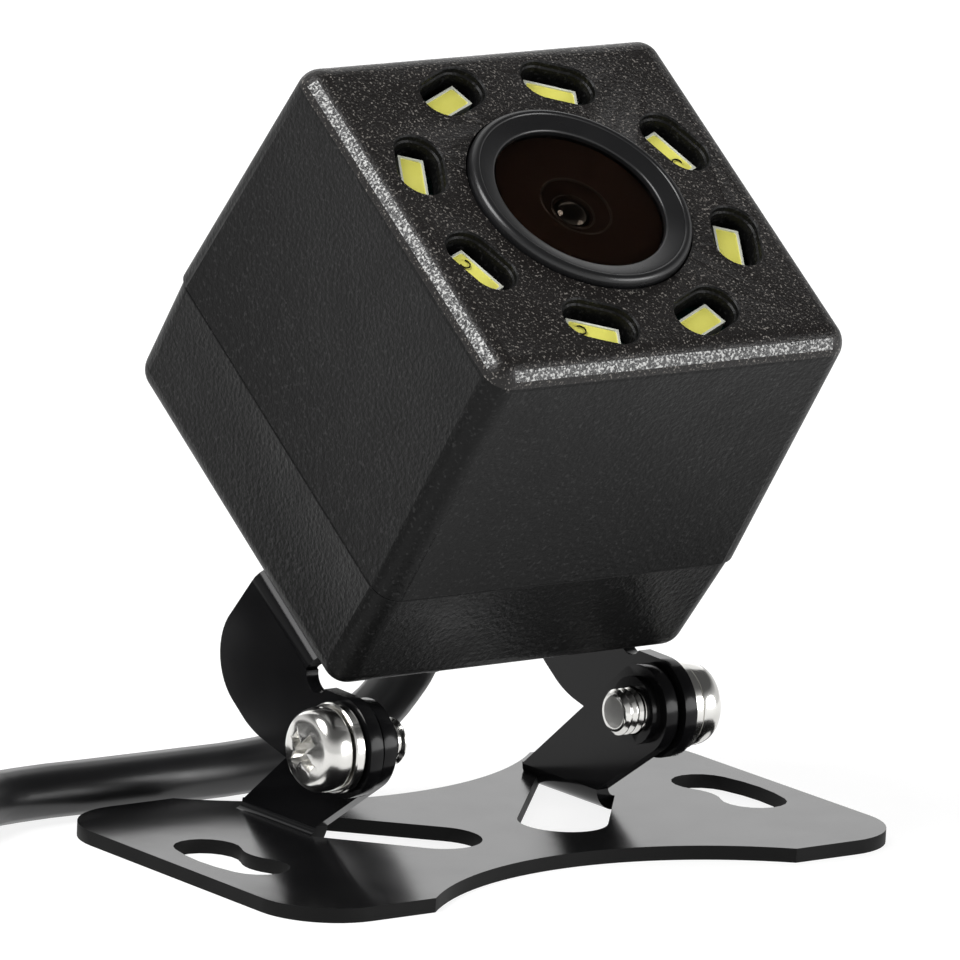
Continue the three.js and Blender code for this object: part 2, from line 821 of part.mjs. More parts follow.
// The opening that each ear leaves behind when it is folded up out of the plate.
function earWindow(side) {
  const end = new THREE.Vector2(windowEndX, windowEndY);
  const front = new THREE.Vector2(foldX, earFootFront);
  const back = new THREE.Vector2(foldX, earFootBack);
  const [frontTouch] = tangentPoints(front, end, earEndRadius).sort((p, q) => p.y - q.y);
  const [backTouch] = tangentPoints(back, end, earEndRadius).sort((p, q) => q.y - p.y);
  const from = degreesOf(backTouch, end);
  const to = degreesOf(frontTouch, end) + 360;
  return [front, back, ...arc(end.x, end.y, earEndRadius, from, to, 20)].map(
    (point) => new THREE.Vector2(side * point.x, point.y)
  );
}

function plateOutline() {
  const rise = plateHalfWidth - waistHalfWidth;
  const waistRadius = (waistStart ** 2 + rise ** 2) / (2 * rise);
  const waistAngle = THREE.MathUtils.radToDeg(Math.asin(waistStart / waistRadius));
  const cornerX = plateHalfLength - plateCornerRadius;
  const cornerY = plateHalfWidth - plateCornerRadius;
  const waistY = waistHalfWidth + waistRadius;
  return [
    ...arc(cornerX, -cornerY, plateCornerRadius, -90, 0, 12),
    ...arc(cornerX, cornerY, plateCornerRadius, 0, 90, 12),
    ...arc(0, waistY, waistRadius, -90 + waistAngle, -90 - waistAngle, 32),
    ...arc(-cornerX, cornerY, plateCornerRadius, 90, 180, 12),
    ...arc(-cornerX, -cornerY, plateCornerRadius, 180, 270, 12),
    ...arc(0, -waistY, waistRadius, 90 + waistAngle, 90 - waistAngle, 32),
  ];
}

// The ear leans forwards from its foot on the plate to a round end on the tilt axis, as (y, z).
function baseEarOutline() {
  const pivot = new THREE.Vector2(pivotY, pivotHeight);
  const foot = sheet + bendInside - overlap;
  const front = new THREE.Vector2(earFootFront, foot);
  const back = new THREE.Vector2(earFootBack, foot);
  const [frontTouch] = tangentPoints(front, pivot, earEndRadius).sort((p, q) => p.y - q.y);
  const [backTouch] = tangentPoints(back, pivot, earEndRadius).sort((p, q) => q.y - p.y);
  const from = degreesOf(backTouch, pivot);
  const to = degreesOf(frontTouch, pivot) + 360;
  return [front, back, ...arc(pivot.x, pivot.y, earEndRadius, from, to, 32)];
}

function basePlate() {
  const sides = [-1, 1];
  const plate = prism(plateOutline(), sheet, [...sides.map(beanSlot), ...sides.map(earWindow)]);
  const earLength = earFootBack - earFootFront;
  const bendZ = sheet + bendInside;
  const tongue = [
    new THREE.Vector2(2 * overlap, -bendZ),
    new THREE.Vector2(2 * overlap, -bendInside),
    ...arc(0, 0, bendInside, 270, 180, 5),
    new THREE.Vector2(-bendInside, overlap),
    new THREE.Vector2(-bendInside - sheet, overlap),
    ...arc(0, 0, bendInside + sheet, 180, 270, 6),
  ];
  const bend = lengthPrism([...tongue].reverse(), earLength);
  const ear = sidePrism(baseEarOutline(), sheet);
  const collar = rod(collarRadius, 0, collarLength + overlap).rotateY(Math.PI / 2);
  const collarStart = (side) => (side > 0 ? earOuter - sheet - collarLength : sheet - overlap - earOuter);
  const folded = sides.flatMap((side) => [
    ear.clone().translate(side > 0 ? earOuter - sheet : -earOuter, 0, 0),
    (side > 0 ? bend.clone() : bend.clone().rotateZ(Math.PI).translate(0, earLength, 0)).translate(
      side * foldX,
      earFootFront,
      bendZ
    ),
    collar.clone().translate(collarStart(side), pivotY, pivotHeight),
  ]);
  const threads = rod(pivotThreadRadius + runGap, -earOuter - 1, earOuter + 1, 32)
    .rotateY(Math.PI / 2)
    .translate(0, pivotY, pivotHeight);
  return cut(join(plate, ...folded), threads);
}

function pivotScrew(side) {
  return panScrew(pivotHeadRadius, pivotHeadHeight, pivotThreadRadius, pivotHeadSeat - pivotThreadEnd)
    .rotateY((side * Math.PI) / 2)
    .translate(side * pivotHeadSeat, pivotY, pivotHeight);
}

function lockWasher(side) {
  const bore = pivotThreadRadius + runGap;
  return ring(
    [
      [bore, 0],
      [washerRadius, 0],
      [washerRadius, washerThickness],
      [bore, washerThickness],
    ],
    32
  )
    .rotateY((side * Math.PI) / 2)
    .translate(side * washerInner, pivotY, pivotHeight);
}

// ---- Cable, coil and plug ----

// A point on the cable's axis so far behind the rear face, in the base frame.
function behindRearFace(distance) {
  const turn = THREE.MathUtils.degToRad(cameraPitch);
  const out = pivotInset - distance;
  return [
    0,
    pivotY + cableUp * Math.cos(turn) - out * Math.sin(turn),
    pivotHeight + cableUp * Math.sin(turn) + out * Math.cos(turn),
  ];
}

function cableLead() {
  return cordTube([behindRearFace(reliefEnd + seatGap), behindRearFace(reliefEnd + 2), ...cableRoute]);
}

function cableCoil() {
  return ring(
    [
      [coilInnerRadius, 0],
      [coilOuterRadius, 0],
      [coilOuterRadius, coilHeight],
      [coilInnerRadius, coilHeight],
    ],
    32
  ).translate(coilX, coilY, 0);
}

// A strap over the coil, its legs down to the surface on both sides.
function cableTie() {
  const low = Math.sqrt(coilInnerRadius ** 2 - (tieWidth / 2) ** 2) - seatGap;
  const high = coilOuterRadius + seatGap;
  const top = coilHeight + seatGap;
  const outline = [
    [high, 0],
    [high + tieThickness, 0],
    [high + tieThickness, top + tieThickness],
    [low - tieThickness, top + tieThickness],
    [low - tieThickness, 0],
    [low, 0],
    [low, top],
    [high, top],
  ].map(([x, z]) => new THREE.Vector2(x, z));
  return lengthPrism(outline.reverse(), tieWidth)
    .translate(0, -tieWidth / 2, 0)
    .rotateZ(THREE.MathUtils.degToRad(tieAngle))
    .translate(coilX, coilY, 0);
}

// The last stretch bends round over the coil and rises to the plug's tail.
function cableEnd() {
  const tail = coilX + plugTailX + seatGap;
  const bend = new THREE.Vector2(tail + plugStraight, coilY + plugY + plugBendRadius);
  const start = coilHeight + plugBendLift;
  const steps = 4;
  const points = arc(bend.x, bend.y, plugBendRadius, plugBendFrom, -90, steps).map((point, i) => [
    point.x,
    point.y,
    start + ((plugAxisHeight - start) * i) / steps,
  ]);
  return cordTube([...points, [tail, coilY + plugY, plugAxisHeight]]);
}

// Puts a turned piece of the plug on its axis, its +Z to -X, starting so far from the cable's end.
function onPlug(geometry, distance) {
  const start = coilX + plugTailX - distance;
  return geometry.rotateY(-Math.PI / 2).translate(start, coilY + plugY, plugAxisHeight);
}

function plugBody() {
  const neck = plugTailLength + plugBodyLength;
  return onPlug(
    turned(
      [
        [0, 0],
        [plugTailRadius, 0],
        [plugTailRadius + plugShoulder, plugTailLength],
        [plugBodyRadius - plugShoulder, plugTailLength],
        [plugBodyRadius, plugTailLength + plugShoulderLength],
        [plugBodyRadius, neck],
        [plugNeckRadius, neck],
        [plugNeckRadius, neck + plugNeckLength],
        [0, neck + plugNeckLength],
      ],
      24
    ),
    0
  );
}

// The screw ring of the plug, ribbed outside, round its neck and its insert.
function plugCollar() {
  const outline = Array.from({ length: 2 * plugCollarRibs }, (_, i) => {
    const angle = (Math.PI * (i + 0.5)) / plugCollarRibs;
    const radius = i % 2 ? plugCollarRadius : plugCollarRadius - plugRibDepth;
    return new THREE.Vector2(radius * Math.cos(angle), radius * Math.sin(angle));
  });
  const bore = plugCollarRadius - plugCollarWall;
  return onPlug(
    prism(outline, plugCollarLength, [circle(bore, 24)]),
    plugTailLength + plugBodyLength + seatGap
  );
}

function plugInsert() {
  const start = plugTailLength + plugBodyLength + plugNeckLength + seatGap;
  const pins = [45, 135, 225, 315].map((degrees) => {
    const angle = THREE.MathUtils.degToRad(degrees);
    return rod(plugPinRadius, plugInsertLength - plugPinDepth, plugInsertLength + 1, 8).translate(
      plugPinRing * Math.cos(angle),
      plugPinRing * Math.sin(angle),
      0
    );
  });
  return onPlug(cut(rod(plugInsertRadius, 0, plugInsertLength), ...pins), start);
}

// ---- Assembly ----

function piece(name, geometry, finish) {
  const material = new THREE.MeshStandardMaterial(finishes[finish]);
  material.name = finish;
  const mesh = new THREE.Mesh(geometry, material);
  mesh.name = name;
  return mesh;
}

const housing = new THREE.Group();
housing.position.set(0, pivotDrop, faceOffset);
housing.add(
  piece("front_shell", frontShell(), "housing"),
  piece("rear_cover", rearCover(), "housing"),
  piece("housing_seal", housingSeal(), "rubber"),
  piece("lens_bezel", lensBezel(), "bezel"),
  piece("front_lens", frontLens(), "glass"),
  piece("lens_barrel", lensBarrel(), "bezel"),
  piece("inner_lens", innerLens(), "glass"),
  piece("lens_holder", lensHolder(), "bezel"),
  piece("image_sensor", imageSensor(), "chip"),
  piece("main_board", mainBoard(), "board"),
  piece("processor_chip", processorChip(), "chip"),
  piece("led_board", ledBoard(), "board"),
  piece("board_pin_strip", pinStrip(), "chip"),
  piece("board_header", boardHeader(), "moulding"),
  piece("cable_inner", cableInner(), "rubber"),
  piece("cable_grommet", cableGrommet(), "rubber"),
  piece("strain_relief", strainRelief(), "rubber"),
  ...ledPlaces().map((place) => piece(place.name, ledPackage(place), "led"))
);

const camera = new THREE.Group();
camera.position.set(0, pivotY, pivotHeight);
camera.rotation.x = THREE.MathUtils.degToRad(cameraPitch);
camera.add(
  housing,
  piece("yoke", yoke(), "bracket"),
  piece("yoke_screw_left", yokeScrew(-1), "nickel"),
  piece("yoke_screw_right", yokeScrew(1), "nickel")
);

const backupCamera = new THREE.Group();
backupCamera.add(
  camera,
  piece("base_plate", basePlate(), "bracket"),
  piece("pivot_screw_left", pivotScrew(-1), "nickel"),
  piece("pivot_screw_right", pivotScrew(1), "nickel"),
  piece("lock_washer_left", lockWasher(-1), "nickel"),
  piece("lock_washer_right", lockWasher(1), "nickel"),
  piece("cable_lead", cableLead(), "rubber"),
  piece("cable_coil", cableCoil(), "rubber"),
  piece("cable_tie", cableTie(), "rubber"),
  piece("cable_end", cableEnd(), "rubber"),
  piece("plug_body", plugBody(), "rubber"),
  piece("plug_collar", plugCollar(), "chip"),
  piece("plug_insert", plugInsert(), "chip")
);

export default backupCamera;
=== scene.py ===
"""The looks of a backup camera on its tilting bracket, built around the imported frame, in metres."""
import json
import logging
import math
from contextlib import contextmanager
from dataclasses import dataclass, field
from enum import Enum
from typing import Callable, Iterator, Optional, Sequence

import bmesh
import bpy
from mathutils import Matrix, Vector


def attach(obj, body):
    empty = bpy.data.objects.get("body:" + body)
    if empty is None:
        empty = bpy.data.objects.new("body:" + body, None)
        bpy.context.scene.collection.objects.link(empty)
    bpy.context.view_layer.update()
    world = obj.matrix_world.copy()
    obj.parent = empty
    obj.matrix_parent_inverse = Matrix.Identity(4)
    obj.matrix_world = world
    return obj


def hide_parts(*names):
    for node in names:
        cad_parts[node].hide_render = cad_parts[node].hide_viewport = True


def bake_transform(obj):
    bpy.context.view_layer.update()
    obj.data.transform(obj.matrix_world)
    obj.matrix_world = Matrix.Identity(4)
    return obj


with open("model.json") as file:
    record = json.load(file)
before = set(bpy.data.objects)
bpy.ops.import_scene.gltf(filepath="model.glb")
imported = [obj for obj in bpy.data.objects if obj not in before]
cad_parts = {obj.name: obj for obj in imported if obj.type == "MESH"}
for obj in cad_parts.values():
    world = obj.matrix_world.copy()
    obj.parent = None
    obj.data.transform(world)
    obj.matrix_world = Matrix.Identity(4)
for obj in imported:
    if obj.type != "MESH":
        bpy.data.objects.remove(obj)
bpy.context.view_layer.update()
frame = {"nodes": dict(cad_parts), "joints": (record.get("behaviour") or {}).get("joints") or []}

MM = 0.001
LOG = logging.getLogger("backup_camera")

Thing = bpy.types.Object
Profile = Sequence[tuple[float, float]]


class Body(Enum):
    """The two bodies that the tilt joint joins."""

    BASE = "base"
    CAMERA = "camera"


class Side(Enum):
    """Left and right as seen facing the lens."""

    LEFT = -1
    RIGHT = 1


# ---- colour and nodes ----


def linear(colour: str) -> tuple[float, float, float, float]:
    """Turns an sRGB hex colour into linear RGBA.

    Args:
        colour: Six hex digits after a hash sign.

    Returns:
        Linear red, green, blue and an alpha of one.
    """
    parts = [int(colour[i : i + 2], 16) / 255 for i in (1, 3, 5)]
    red, green, blue = (p / 12.92 if p <= 0.04045 else ((p + 0.055) / 1.055) ** 2.4 for p in parts)
    return red, green, blue, 1.0


def add_node(tree: bpy.types.NodeTree, kind: str, settings: Optional[dict] = None, **inputs) -> bpy.types.Node:
    """Adds a shader node with its settings and links.

    Args:
        tree: The material's node tree.
        kind: The node's type name.
        settings: Attributes of the node by name.
        **inputs: Values or output sockets for the node's inputs; an underscore stands for a space.

    Returns:
        The new node.
    """
    node = tree.nodes.new(kind)
    for name, value in (settings or {}).items():
        setattr(node, name, value)
    for name, value in inputs.items():
        key = int(name[1:]) if name[1:].isdigit() else name.replace("_", " ")
        if isinstance(value, bpy.types.NodeSocket):
            tree.links.new(value, node.inputs[key])
        else:
            node.inputs[key].default_value = value
    return node


# ---- finishes ----


@dataclass(frozen=True)
class Finish:
    """A finish: base colour with slight mottling, and a fine grain that breaks up the gloss."""

    name: str
    colour: str
    mottle: str  # the other end of the colour's slight variation
    roughness: float
    metallic: float = 0.0
    specular: float = 0.5
    grain_mm: float = 0.3  # size of one grain
    grain_height_mm: float = 0.004
    patch_mm: float = 3.0  # size of a patch of slightly other colour and gloss
    gloss_swing: float = 0.05  # how far roughness wanders from patch to patch
    coat: float = 0.0
    coat_roughness: float = 0.05
    painted_glint: Optional[str] = None  # colour of painted glints: single bright grains painted into the base colour
    painted_glint_from: float = 0.6  # noise level above which a grain is bright

    def build(self) -> bpy.types.Material:
        """Makes the material; a second call gives the same one.

        Returns:
            The material, its patterns on Object coordinates.
        """
        made = bpy.data.materials.get(self.name)
        if made:
            return made
        made = bpy.data.materials.new(self.name)
        made.use_nodes = True
        tree = made.node_tree
        shader = tree.nodes["Principled BSDF"]
        place = add_node(tree, "ShaderNodeTexCoord").outputs["Object"]
        patch, grain = (
            add_node(tree, "ShaderNodeTexNoise", Vector=place, Scale=1 / (size * MM), Detail=detail)
            for size, detail in ((self.patch_mm, 3.0), (self.grain_mm, 2.0))
        )
        colour = add_node(
            tree,
            "ShaderNodeMix",
            {"data_type": "RGBA"},
            i0=patch.outputs["Fac"],
            i6=linear(self.colour),
            i7=linear(self.mottle),
        ).outputs[2]
        if self.painted_glint:
            colour = self.with_painted_glints(tree, place, colour)
        tree.links.new(colour, shader.inputs["Base Color"])
        gloss = add_node(
            tree,
            "ShaderNodeMapRange",
            i0=patch.outputs["Fac"],
            i1=0.3,
            i2=0.7,
            i3=max(self.roughness - self.gloss_swing, 0.02),
            i4=min(self.roughness + self.gloss_swing, 1.0),
        )
        tree.links.new(gloss.outputs[0], shader.inputs["Roughness"])
        bump = add_node(tree, "ShaderNodeBump", Distance=self.grain_height_mm * MM, Height=grain.outputs["Fac"])
        tree.links.new(bump.outputs["Normal"], shader.inputs["Normal"])
        shader.inputs["Metallic"].default_value = self.metallic
        if not self.metallic:
            shader.inputs["Specular IOR Level"].default_value = self.specular
        shader.inputs["Coat Weight"].default_value = self.coat
        shader.inputs["Coat Roughness"].default_value = self.coat_roughness
        return made

    def with_painted_glints(
        self, tree: bpy.types.NodeTree, place: bpy.types.NodeSocket, colour: bpy.types.NodeSocket
    ) -> bpy.types.NodeSocket:
        """Mixes painted glints into a colour: single bright grains that stand in for the glints of the grain.
            colour: The colour under the grains.

        Returns:
            The mixed colour.
        """
        scale = 1.3 / (self.grain_mm * MM)
        specks = add_node(tree, "ShaderNodeTexNoise", Vector=place, Scale=scale, Detail=1.0)
        glint_mask = add_node(
            tree,
            "ShaderNodeMapRange",
            i0=specks.outputs["Fac"],
            i1=self.painted_glint_from,
            i2=self.painted_glint_from + 0.14,
        )
        mix = add_node(
            tree, "ShaderNodeMix", {"data_type": "RGBA"}, i0=glint_mask.outputs[0], i6=colour,
            i7=linear(self.painted_glint),
        )
        return mix.outputs[2]


@dataclass(frozen=True)
class CoatedGlass:
    """Anti-reflection coated glass: clear, with only a trace of a reflection."""

    name: str = "coated optical glass"
    tint: str = "#b3aaa1"
    ior: float = 1.05  # below real glass, because the coating takes most of the reflection away

    def build(self) -> bpy.types.Material:
        """Makes the material.

        Returns:
            A clear material with a faint, slightly uneven coating tint.
        """
        made = bpy.data.materials.new(self.name)
        made.use_nodes = True
        tree = made.node_tree
        shader = tree.nodes["Principled BSDF"]
        place = add_node(tree, "ShaderNodeTexCoord").outputs["Object"]
        patch = add_node(tree, "ShaderNodeTexNoise", Vector=place, Scale=1 / (4 * MM))
        colour = add_node(
            tree,
            "ShaderNodeMix",
            {"data_type": "RGBA"},
            i0=patch.outputs["Fac"],
            i6=linear(self.tint),
            i7=linear("#b9b1a9"),
        )
        tree.links.new(colour.outputs[2], shader.inputs["Base Color"])
        shader.inputs["Transmission Weight"].default_value = 1.0
        shader.inputs["Roughness"].default_value = 0.02
        shader.inputs["IOR"].default_value = self.ior
        return made


# Spark-eroded mould grain on black ABS over a warm black, the lit copy of the ABS painted lighter than the
# sides, with painted glints: fine grey grains painted into the colour all over.
ABS_FACE = Finish(
    "moulded ABS face",
    "#110f0e",
    "#151211",
    roughness=0.42,
    specular=0.32,
    grain_mm=0.17,
    grain_height_mm=0.04,
    painted_glint="#77736e",
    painted_glint_from=0.6,
)
# The same grain over a band of the rounded front edges, coarser and glossier, with a painted highlight: bright
# grains painted into the colour.
ABS_EDGE_PAINTED_HIGHLIGHT = Finish(
    "ABS edge with painted highlight",
    "#101010",
    "#161616",
    roughness=0.36,
    specular=0.9,
    grain_mm=0.18,
    grain_height_mm=0.12,
    painted_glint="#bcbcba",
    painted_glint_from=0.5,
)
# The sides leave the mould along the grain, so it is shallower and they look smoother and greyer; their colour
# is painted shade, darker than the face's, with faint painted glints, and the walls of the slots and the lens
# seat take it as painted shade too.
ABS_SIDE_SHADED = Finish(
    "moulded ABS side",
    "#0a0a0a",
    "#0e0e0e",
    roughness=0.42,
    specular=0.15,
    grain_mm=0.28,
    grain_height_mm=0.05,
    painted_glint="#262626",
    painted_glint_from=0.6,
)
# Gloss black stoving paint on steel sheet: a clear mirror at a low angle, very slightly rippled.
BRACKET_PAINT = Finish(
    "gloss black paint",
    "#0b0b0c",
    "#0f0f10",
    roughness=0.17,
    specular=0.16,
    grain_mm=1.1,
    grain_height_mm=0.0012,
    gloss_swing=0.02,
)
# Paint is thin and dull over the sheet's sheared edge.
CUT_EDGE = Finish(
    "paint over sheared edge", "#0c0c0c", "#121212", roughness=0.6, specular=0.12, grain_mm=0.15
)
# Bright nickel plate on steel: mirror-like, with the faint unevenness of barrel plating.
NICKEL = Finish(
    "bright nickel plate", "#e4e3e0", "#d2d1cd", roughness=0.17, metallic=1.0,
    grain_mm=0.5, grain_height_mm=0.004
)
# Satin black acetal: a soft broad sheen on the cone of the ring.
LENS_RING = Finish(
    "satin black acetal", "#131314", "#181819", roughness=0.3, grain_mm=0.12, grain_height_mm=0.0015
)
# Flat black inside the lens, which swallows the light and looks warm brown-black.
LENS_BLACK = Finish("flat optical black", "#2c211c", "#312620", roughness=0.85, specular=0.06, grain_mm=0.2)
# The rings round the inner glass, a trace lighter than the black that they stand in.
LENS_STEP = Finish("turned optical black", "#2b2826", "#302c2a", roughness=0.3, specular=0.5, grain_mm=0.1)
# The small inner glass: nearly black with sharp warm highlights.
INNER_GLASS = Finish(
    "coated inner glass", "#080605", "#0a0807", roughness=0.08, grain_mm=1.0, grain_height_mm=0.0005, coat=1.0
)
# White ceramic-filled nylon of the LED package.
LED_WHITE = Finish(
    "white LED package", "#e3e5da", "#d6d9c8", roughness=0.4, grain_mm=0.1, grain_height_mm=0.002
)
# Yellow phosphor in clear silicone: even and slightly waxy.
PHOSPHOR = Finish(
    "yellow phosphor",
    "#efea78",
    "#e6e164",
    roughness=0.35,
    grain_mm=0.12,
    grain_height_mm=0.003,
    patch_mm=0.9,
    coat=0.25,
)
# Tinned contact pads at the ends of each package.
TIN = Finish("tinned copper pad", "#a9aaa6", "#8e908c", roughness=0.3, metallic=1.0, grain_mm=0.2)
# Bond wire seen through the phosphor: a dark thread.
BOND_WIRE = Finish("bond wire", "#1c1a12", "#2a271a", roughness=0.3, metallic=0.6, grain_mm=0.1)
# Solder resist over copper: dark blue-green and glossy.
SOLDER_RESIST = Finish(
    "green solder resist", "#123a36", "#0f2f2c", roughness=0.3, grain_mm=0.5, grain_height_mm=0.003, coat=0.3
)
# Moulded epoxy of a chip: dull dark grey.
CHIP_EPOXY = Finish(
    "moulded epoxy", "#1c1d1f", "#232427", roughness=0.6, grain_mm=0.1, grain_height_mm=0.003
)
# Undyed nylon: ivory and slightly waxy.
NYLON = Finish("natural nylon", "#e5dfcf", "#d8d1be", roughness=0.45, grain_mm=0.3)
# Cable jacket: soft black PVC with a long soft highlight and faint extrusion ripple.
CABLE_PVC = Finish(
    "black PVC jacket", "#161617", "#1b1b1c", roughness=0.36, grain_mm=0.35, grain_height_mm=0.004,
    gloss_swing=0.04
)
# Moulded rubber of the seal and grommet.
RUBBER = Finish("black rubber", "#141414", "#1a1a1a", roughness=0.65, grain_mm=0.2, grain_height_mm=0.006)
# Overmoulded plug body, a little duller than the cable.
PLUG_PVC = Finish(
    "overmoulded PVC", "#17171a", "#1d1d20", roughness=0.48, grain_mm=0.3, grain_height_mm=0.008
)
# The plug's screw ring in glass-filled nylon.
PLUG_NYLON = Finish(
    "black nylon", "#1b1b1d", "#222224", roughness=0.4, grain_mm=0.25, grain_height_mm=0.006
)
# Looped back of a hook-and-loop strap: dull, with a visible pile.
STRAP = Finish(
    "hook and loop strap", "#121215", "#1d1d21", roughness=0.9, grain_mm=0.35, grain_height_mm=0.08
)
# Matt white card under the object.
CARD = Finish(
    "white card", "#8a8a8a", "#868686", roughness=0.85, specular=0.2, grain_mm=2.0, grain_height_mm=0.002
)


# ---- modelling by hand ----


def only(obj: Thing) -> None:
    """Makes one object the only selected and the active one."""
    bpy.ops.object.select_all(action="DESELECT")
    obj.select_set(True)
    bpy.context.view_layer.objects.active = obj


def primitive(kind: str, **settings) -> Thing:
    """Adds a mesh primitive, with nothing else selected.

    Args:
        kind: The primitive's name, such as cube.
        **settings: The operator's settings, in metres.

    Returns:
        The new object, its place already in its mesh.
    """
    bpy.ops.object.select_all(action="DESELECT")
    getattr(bpy.ops.mesh, f"primitive_{kind}_add")(**settings)
    obj = bpy.context.object
    settle(obj)
    return obj


def settle(obj: Thing, matrix: Optional[Matrix] = None) -> Thing:
    """Moves an object by a matrix and puts its place into its mesh.

    Args:
        obj: The object.
        matrix: The move; none only settles the place it has.

    Returns:
        The object.
    """
    if matrix is not None:
        obj.matrix_world = matrix @ obj.matrix_world
    only(obj)
    bpy.ops.object.transform_apply(location=True, rotation=True, scale=True)
    return obj


@contextmanager
def editing(obj: Thing, mode: str = "VERT") -> Iterator[bmesh.types.BMesh]:
    """Edit mode on one object with nothing selected.

    Args:
        obj: The object to edit.
        mode: What is selected: VERT, EDGE or FACE.

    Yields:
        The mesh in edit mode, for choosing what to select.
    """
    only(obj)
    bpy.ops.object.mode_set(mode="EDIT")
    bpy.ops.mesh.select_mode(type=mode)
    bpy.ops.mesh.select_all(action="DESELECT")
    yield bmesh.from_edit_mesh(obj.data)
    bpy.ops.object.mode_set(mode="OBJECT")


def choose(obj: Thing, items: Sequence, test: Callable) -> None:
    """Selects what passes a test in edit mode and nothing else.

    Args:
        obj: The object in edit mode.
        items: Its vertices, edges or faces.
        test: Says which of them are selected.
    """
    bpy.ops.mesh.select_all(action="DESELECT")
    for item in items:
        if test(item):
            item.select_set(True)
    bmesh.update_edit_mesh(obj.data)


def pull(x: float, y: float, z: float) -> None:
    """Extrudes what is selected in edit mode by a step in metres."""
    bpy.ops.mesh.extrude_region_move(TRANSFORM_OT_translate={"value": (x, y, z)})


def discard(*patterns: Thing) -> None:
    """Removes objects that only served to make others."""
    for pattern in patterns:
        bpy.data.objects.remove(pattern, do_unlink=True)


def outward(obj: Thing) -> Thing:
    """Joins double points and turns every face outwards.

    Args:
        obj: The object.

    Returns:
        The object.
    """
    with editing(obj):
        bpy.ops.mesh.select_all(action="SELECT")
        bpy.ops.mesh.remove_doubles(threshold=1e-7)
        bpy.ops.mesh.normals_make_consistent(inside=False)
    return obj


def apply_modifier(obj: Thing, kind: str, **settings) -> Thing:
    """Adds a modifier with its settings and applies it.

    Args:
        obj: The object.
        kind: The modifier's type, such as BEVEL.
        **settings: Its settings.

    Returns:
        The object.
    """
    modifier = obj.modifiers.new(kind.title(), kind)
    for name, value in settings.items():
        setattr(modifier, name, value)
    only(obj)
    bpy.ops.object.modifier_apply(modifier=modifier.name)
    return obj


def carve(obj: Thing, *tools: Thing) -> Thing:
    """Cuts tools out of an object and removes the tools.

    Args:
        obj: The object.
        *tools: What is cut out of it.

    Returns:
        The object.
    """
    for tool in tools:
        apply_modifier(obj, "BOOLEAN", operation="DIFFERENCE", solver="EXACT", object=tool)
        discard(tool)
    return obj


def soften(obj: Thing, width_mm: float, segments: int = 2, angle: float = 35) -> Thing:
    """Breaks an object's sharp edges by a small round and smooths its curved faces.

    Args:
        obj: The object.
        width_mm: Width of the round.
        segments: Steps of the round.
        angle: Least angle, in degrees, of an edge that is broken.

    Returns:
        The object.
    """
    apply_modifier(
        obj,
        "BEVEL",
        width=width_mm * MM,
        segments=segments,
        limit_method="ANGLE",
        angle_limit=math.radians(angle),
    )
    smooth(obj)
    return apply_modifier(obj, "WEIGHTED_NORMAL", weight=100, keep_sharp=True)


def flatten(obj: Thing, least_mm2: float) -> Thing:
    """Shades the large faces of an object flat, from an area up.

    Args:
        obj: The object.
        least_mm2: Least area of a face that is made flat.

    Returns:
        The object.
    """
    for face in obj.data.polygons:
        if face.area > least_mm2 * MM * MM:
            face.use_smooth = False
    return obj


def smooth(obj: Thing, angle: float = 35) -> Thing:
    """Smooths the shading across edges below an angle."""
    only(obj)
    bpy.ops.object.shade_smooth_by_angle(angle=math.radians(angle))
    return obj


def turn(profile: Profile, sides: int = 64, ring: bool = False) -> Thing:
    """Turns a shape about Z by drawing one ring out of the last along a profile.

    Args:
        profile: Radius and height pairs in millimetres; a radius of zero closes an end.
        sides: Sides of each ring.
        ring: Whether the last ring is bridged back to the first.

    Returns:
        The closed mesh.
    """
    points = [(r * MM, z * MM) for r, z in profile if r > 0]
    radius, height = points[0]
    obj = primitive("circle", vertices=sides, radius=radius, location=(0, 0, height))
    with editing(obj) as mesh:
        bpy.ops.mesh.select_all(action="SELECT")
        if not ring:
            bpy.ops.mesh.edge_face_add()
            bpy.ops.mesh.select_all(action="SELECT")
        first = {tuple(round(c, 9) for c in v.co) for v in mesh.verts}
        for next_radius, next_height in points[1:]:
            pull(0, 0, next_height - height)
            share = next_radius / radius
            bpy.ops.transform.resize(value=(share, share, 1), center_override=(0, 0, next_height))
            radius, height = next_radius, next_height
        if ring:
            mesh = bmesh.from_edit_mesh(obj.data)
            for vert in mesh.verts:
                if tuple(round(c, 9) for c in vert.co) in first:
                    vert.select_set(True)
            mesh.select_flush(True)
            bmesh.update_edit_mesh(obj.data)
            bpy.ops.mesh.bridge_edge_loops()
    return outward(obj)


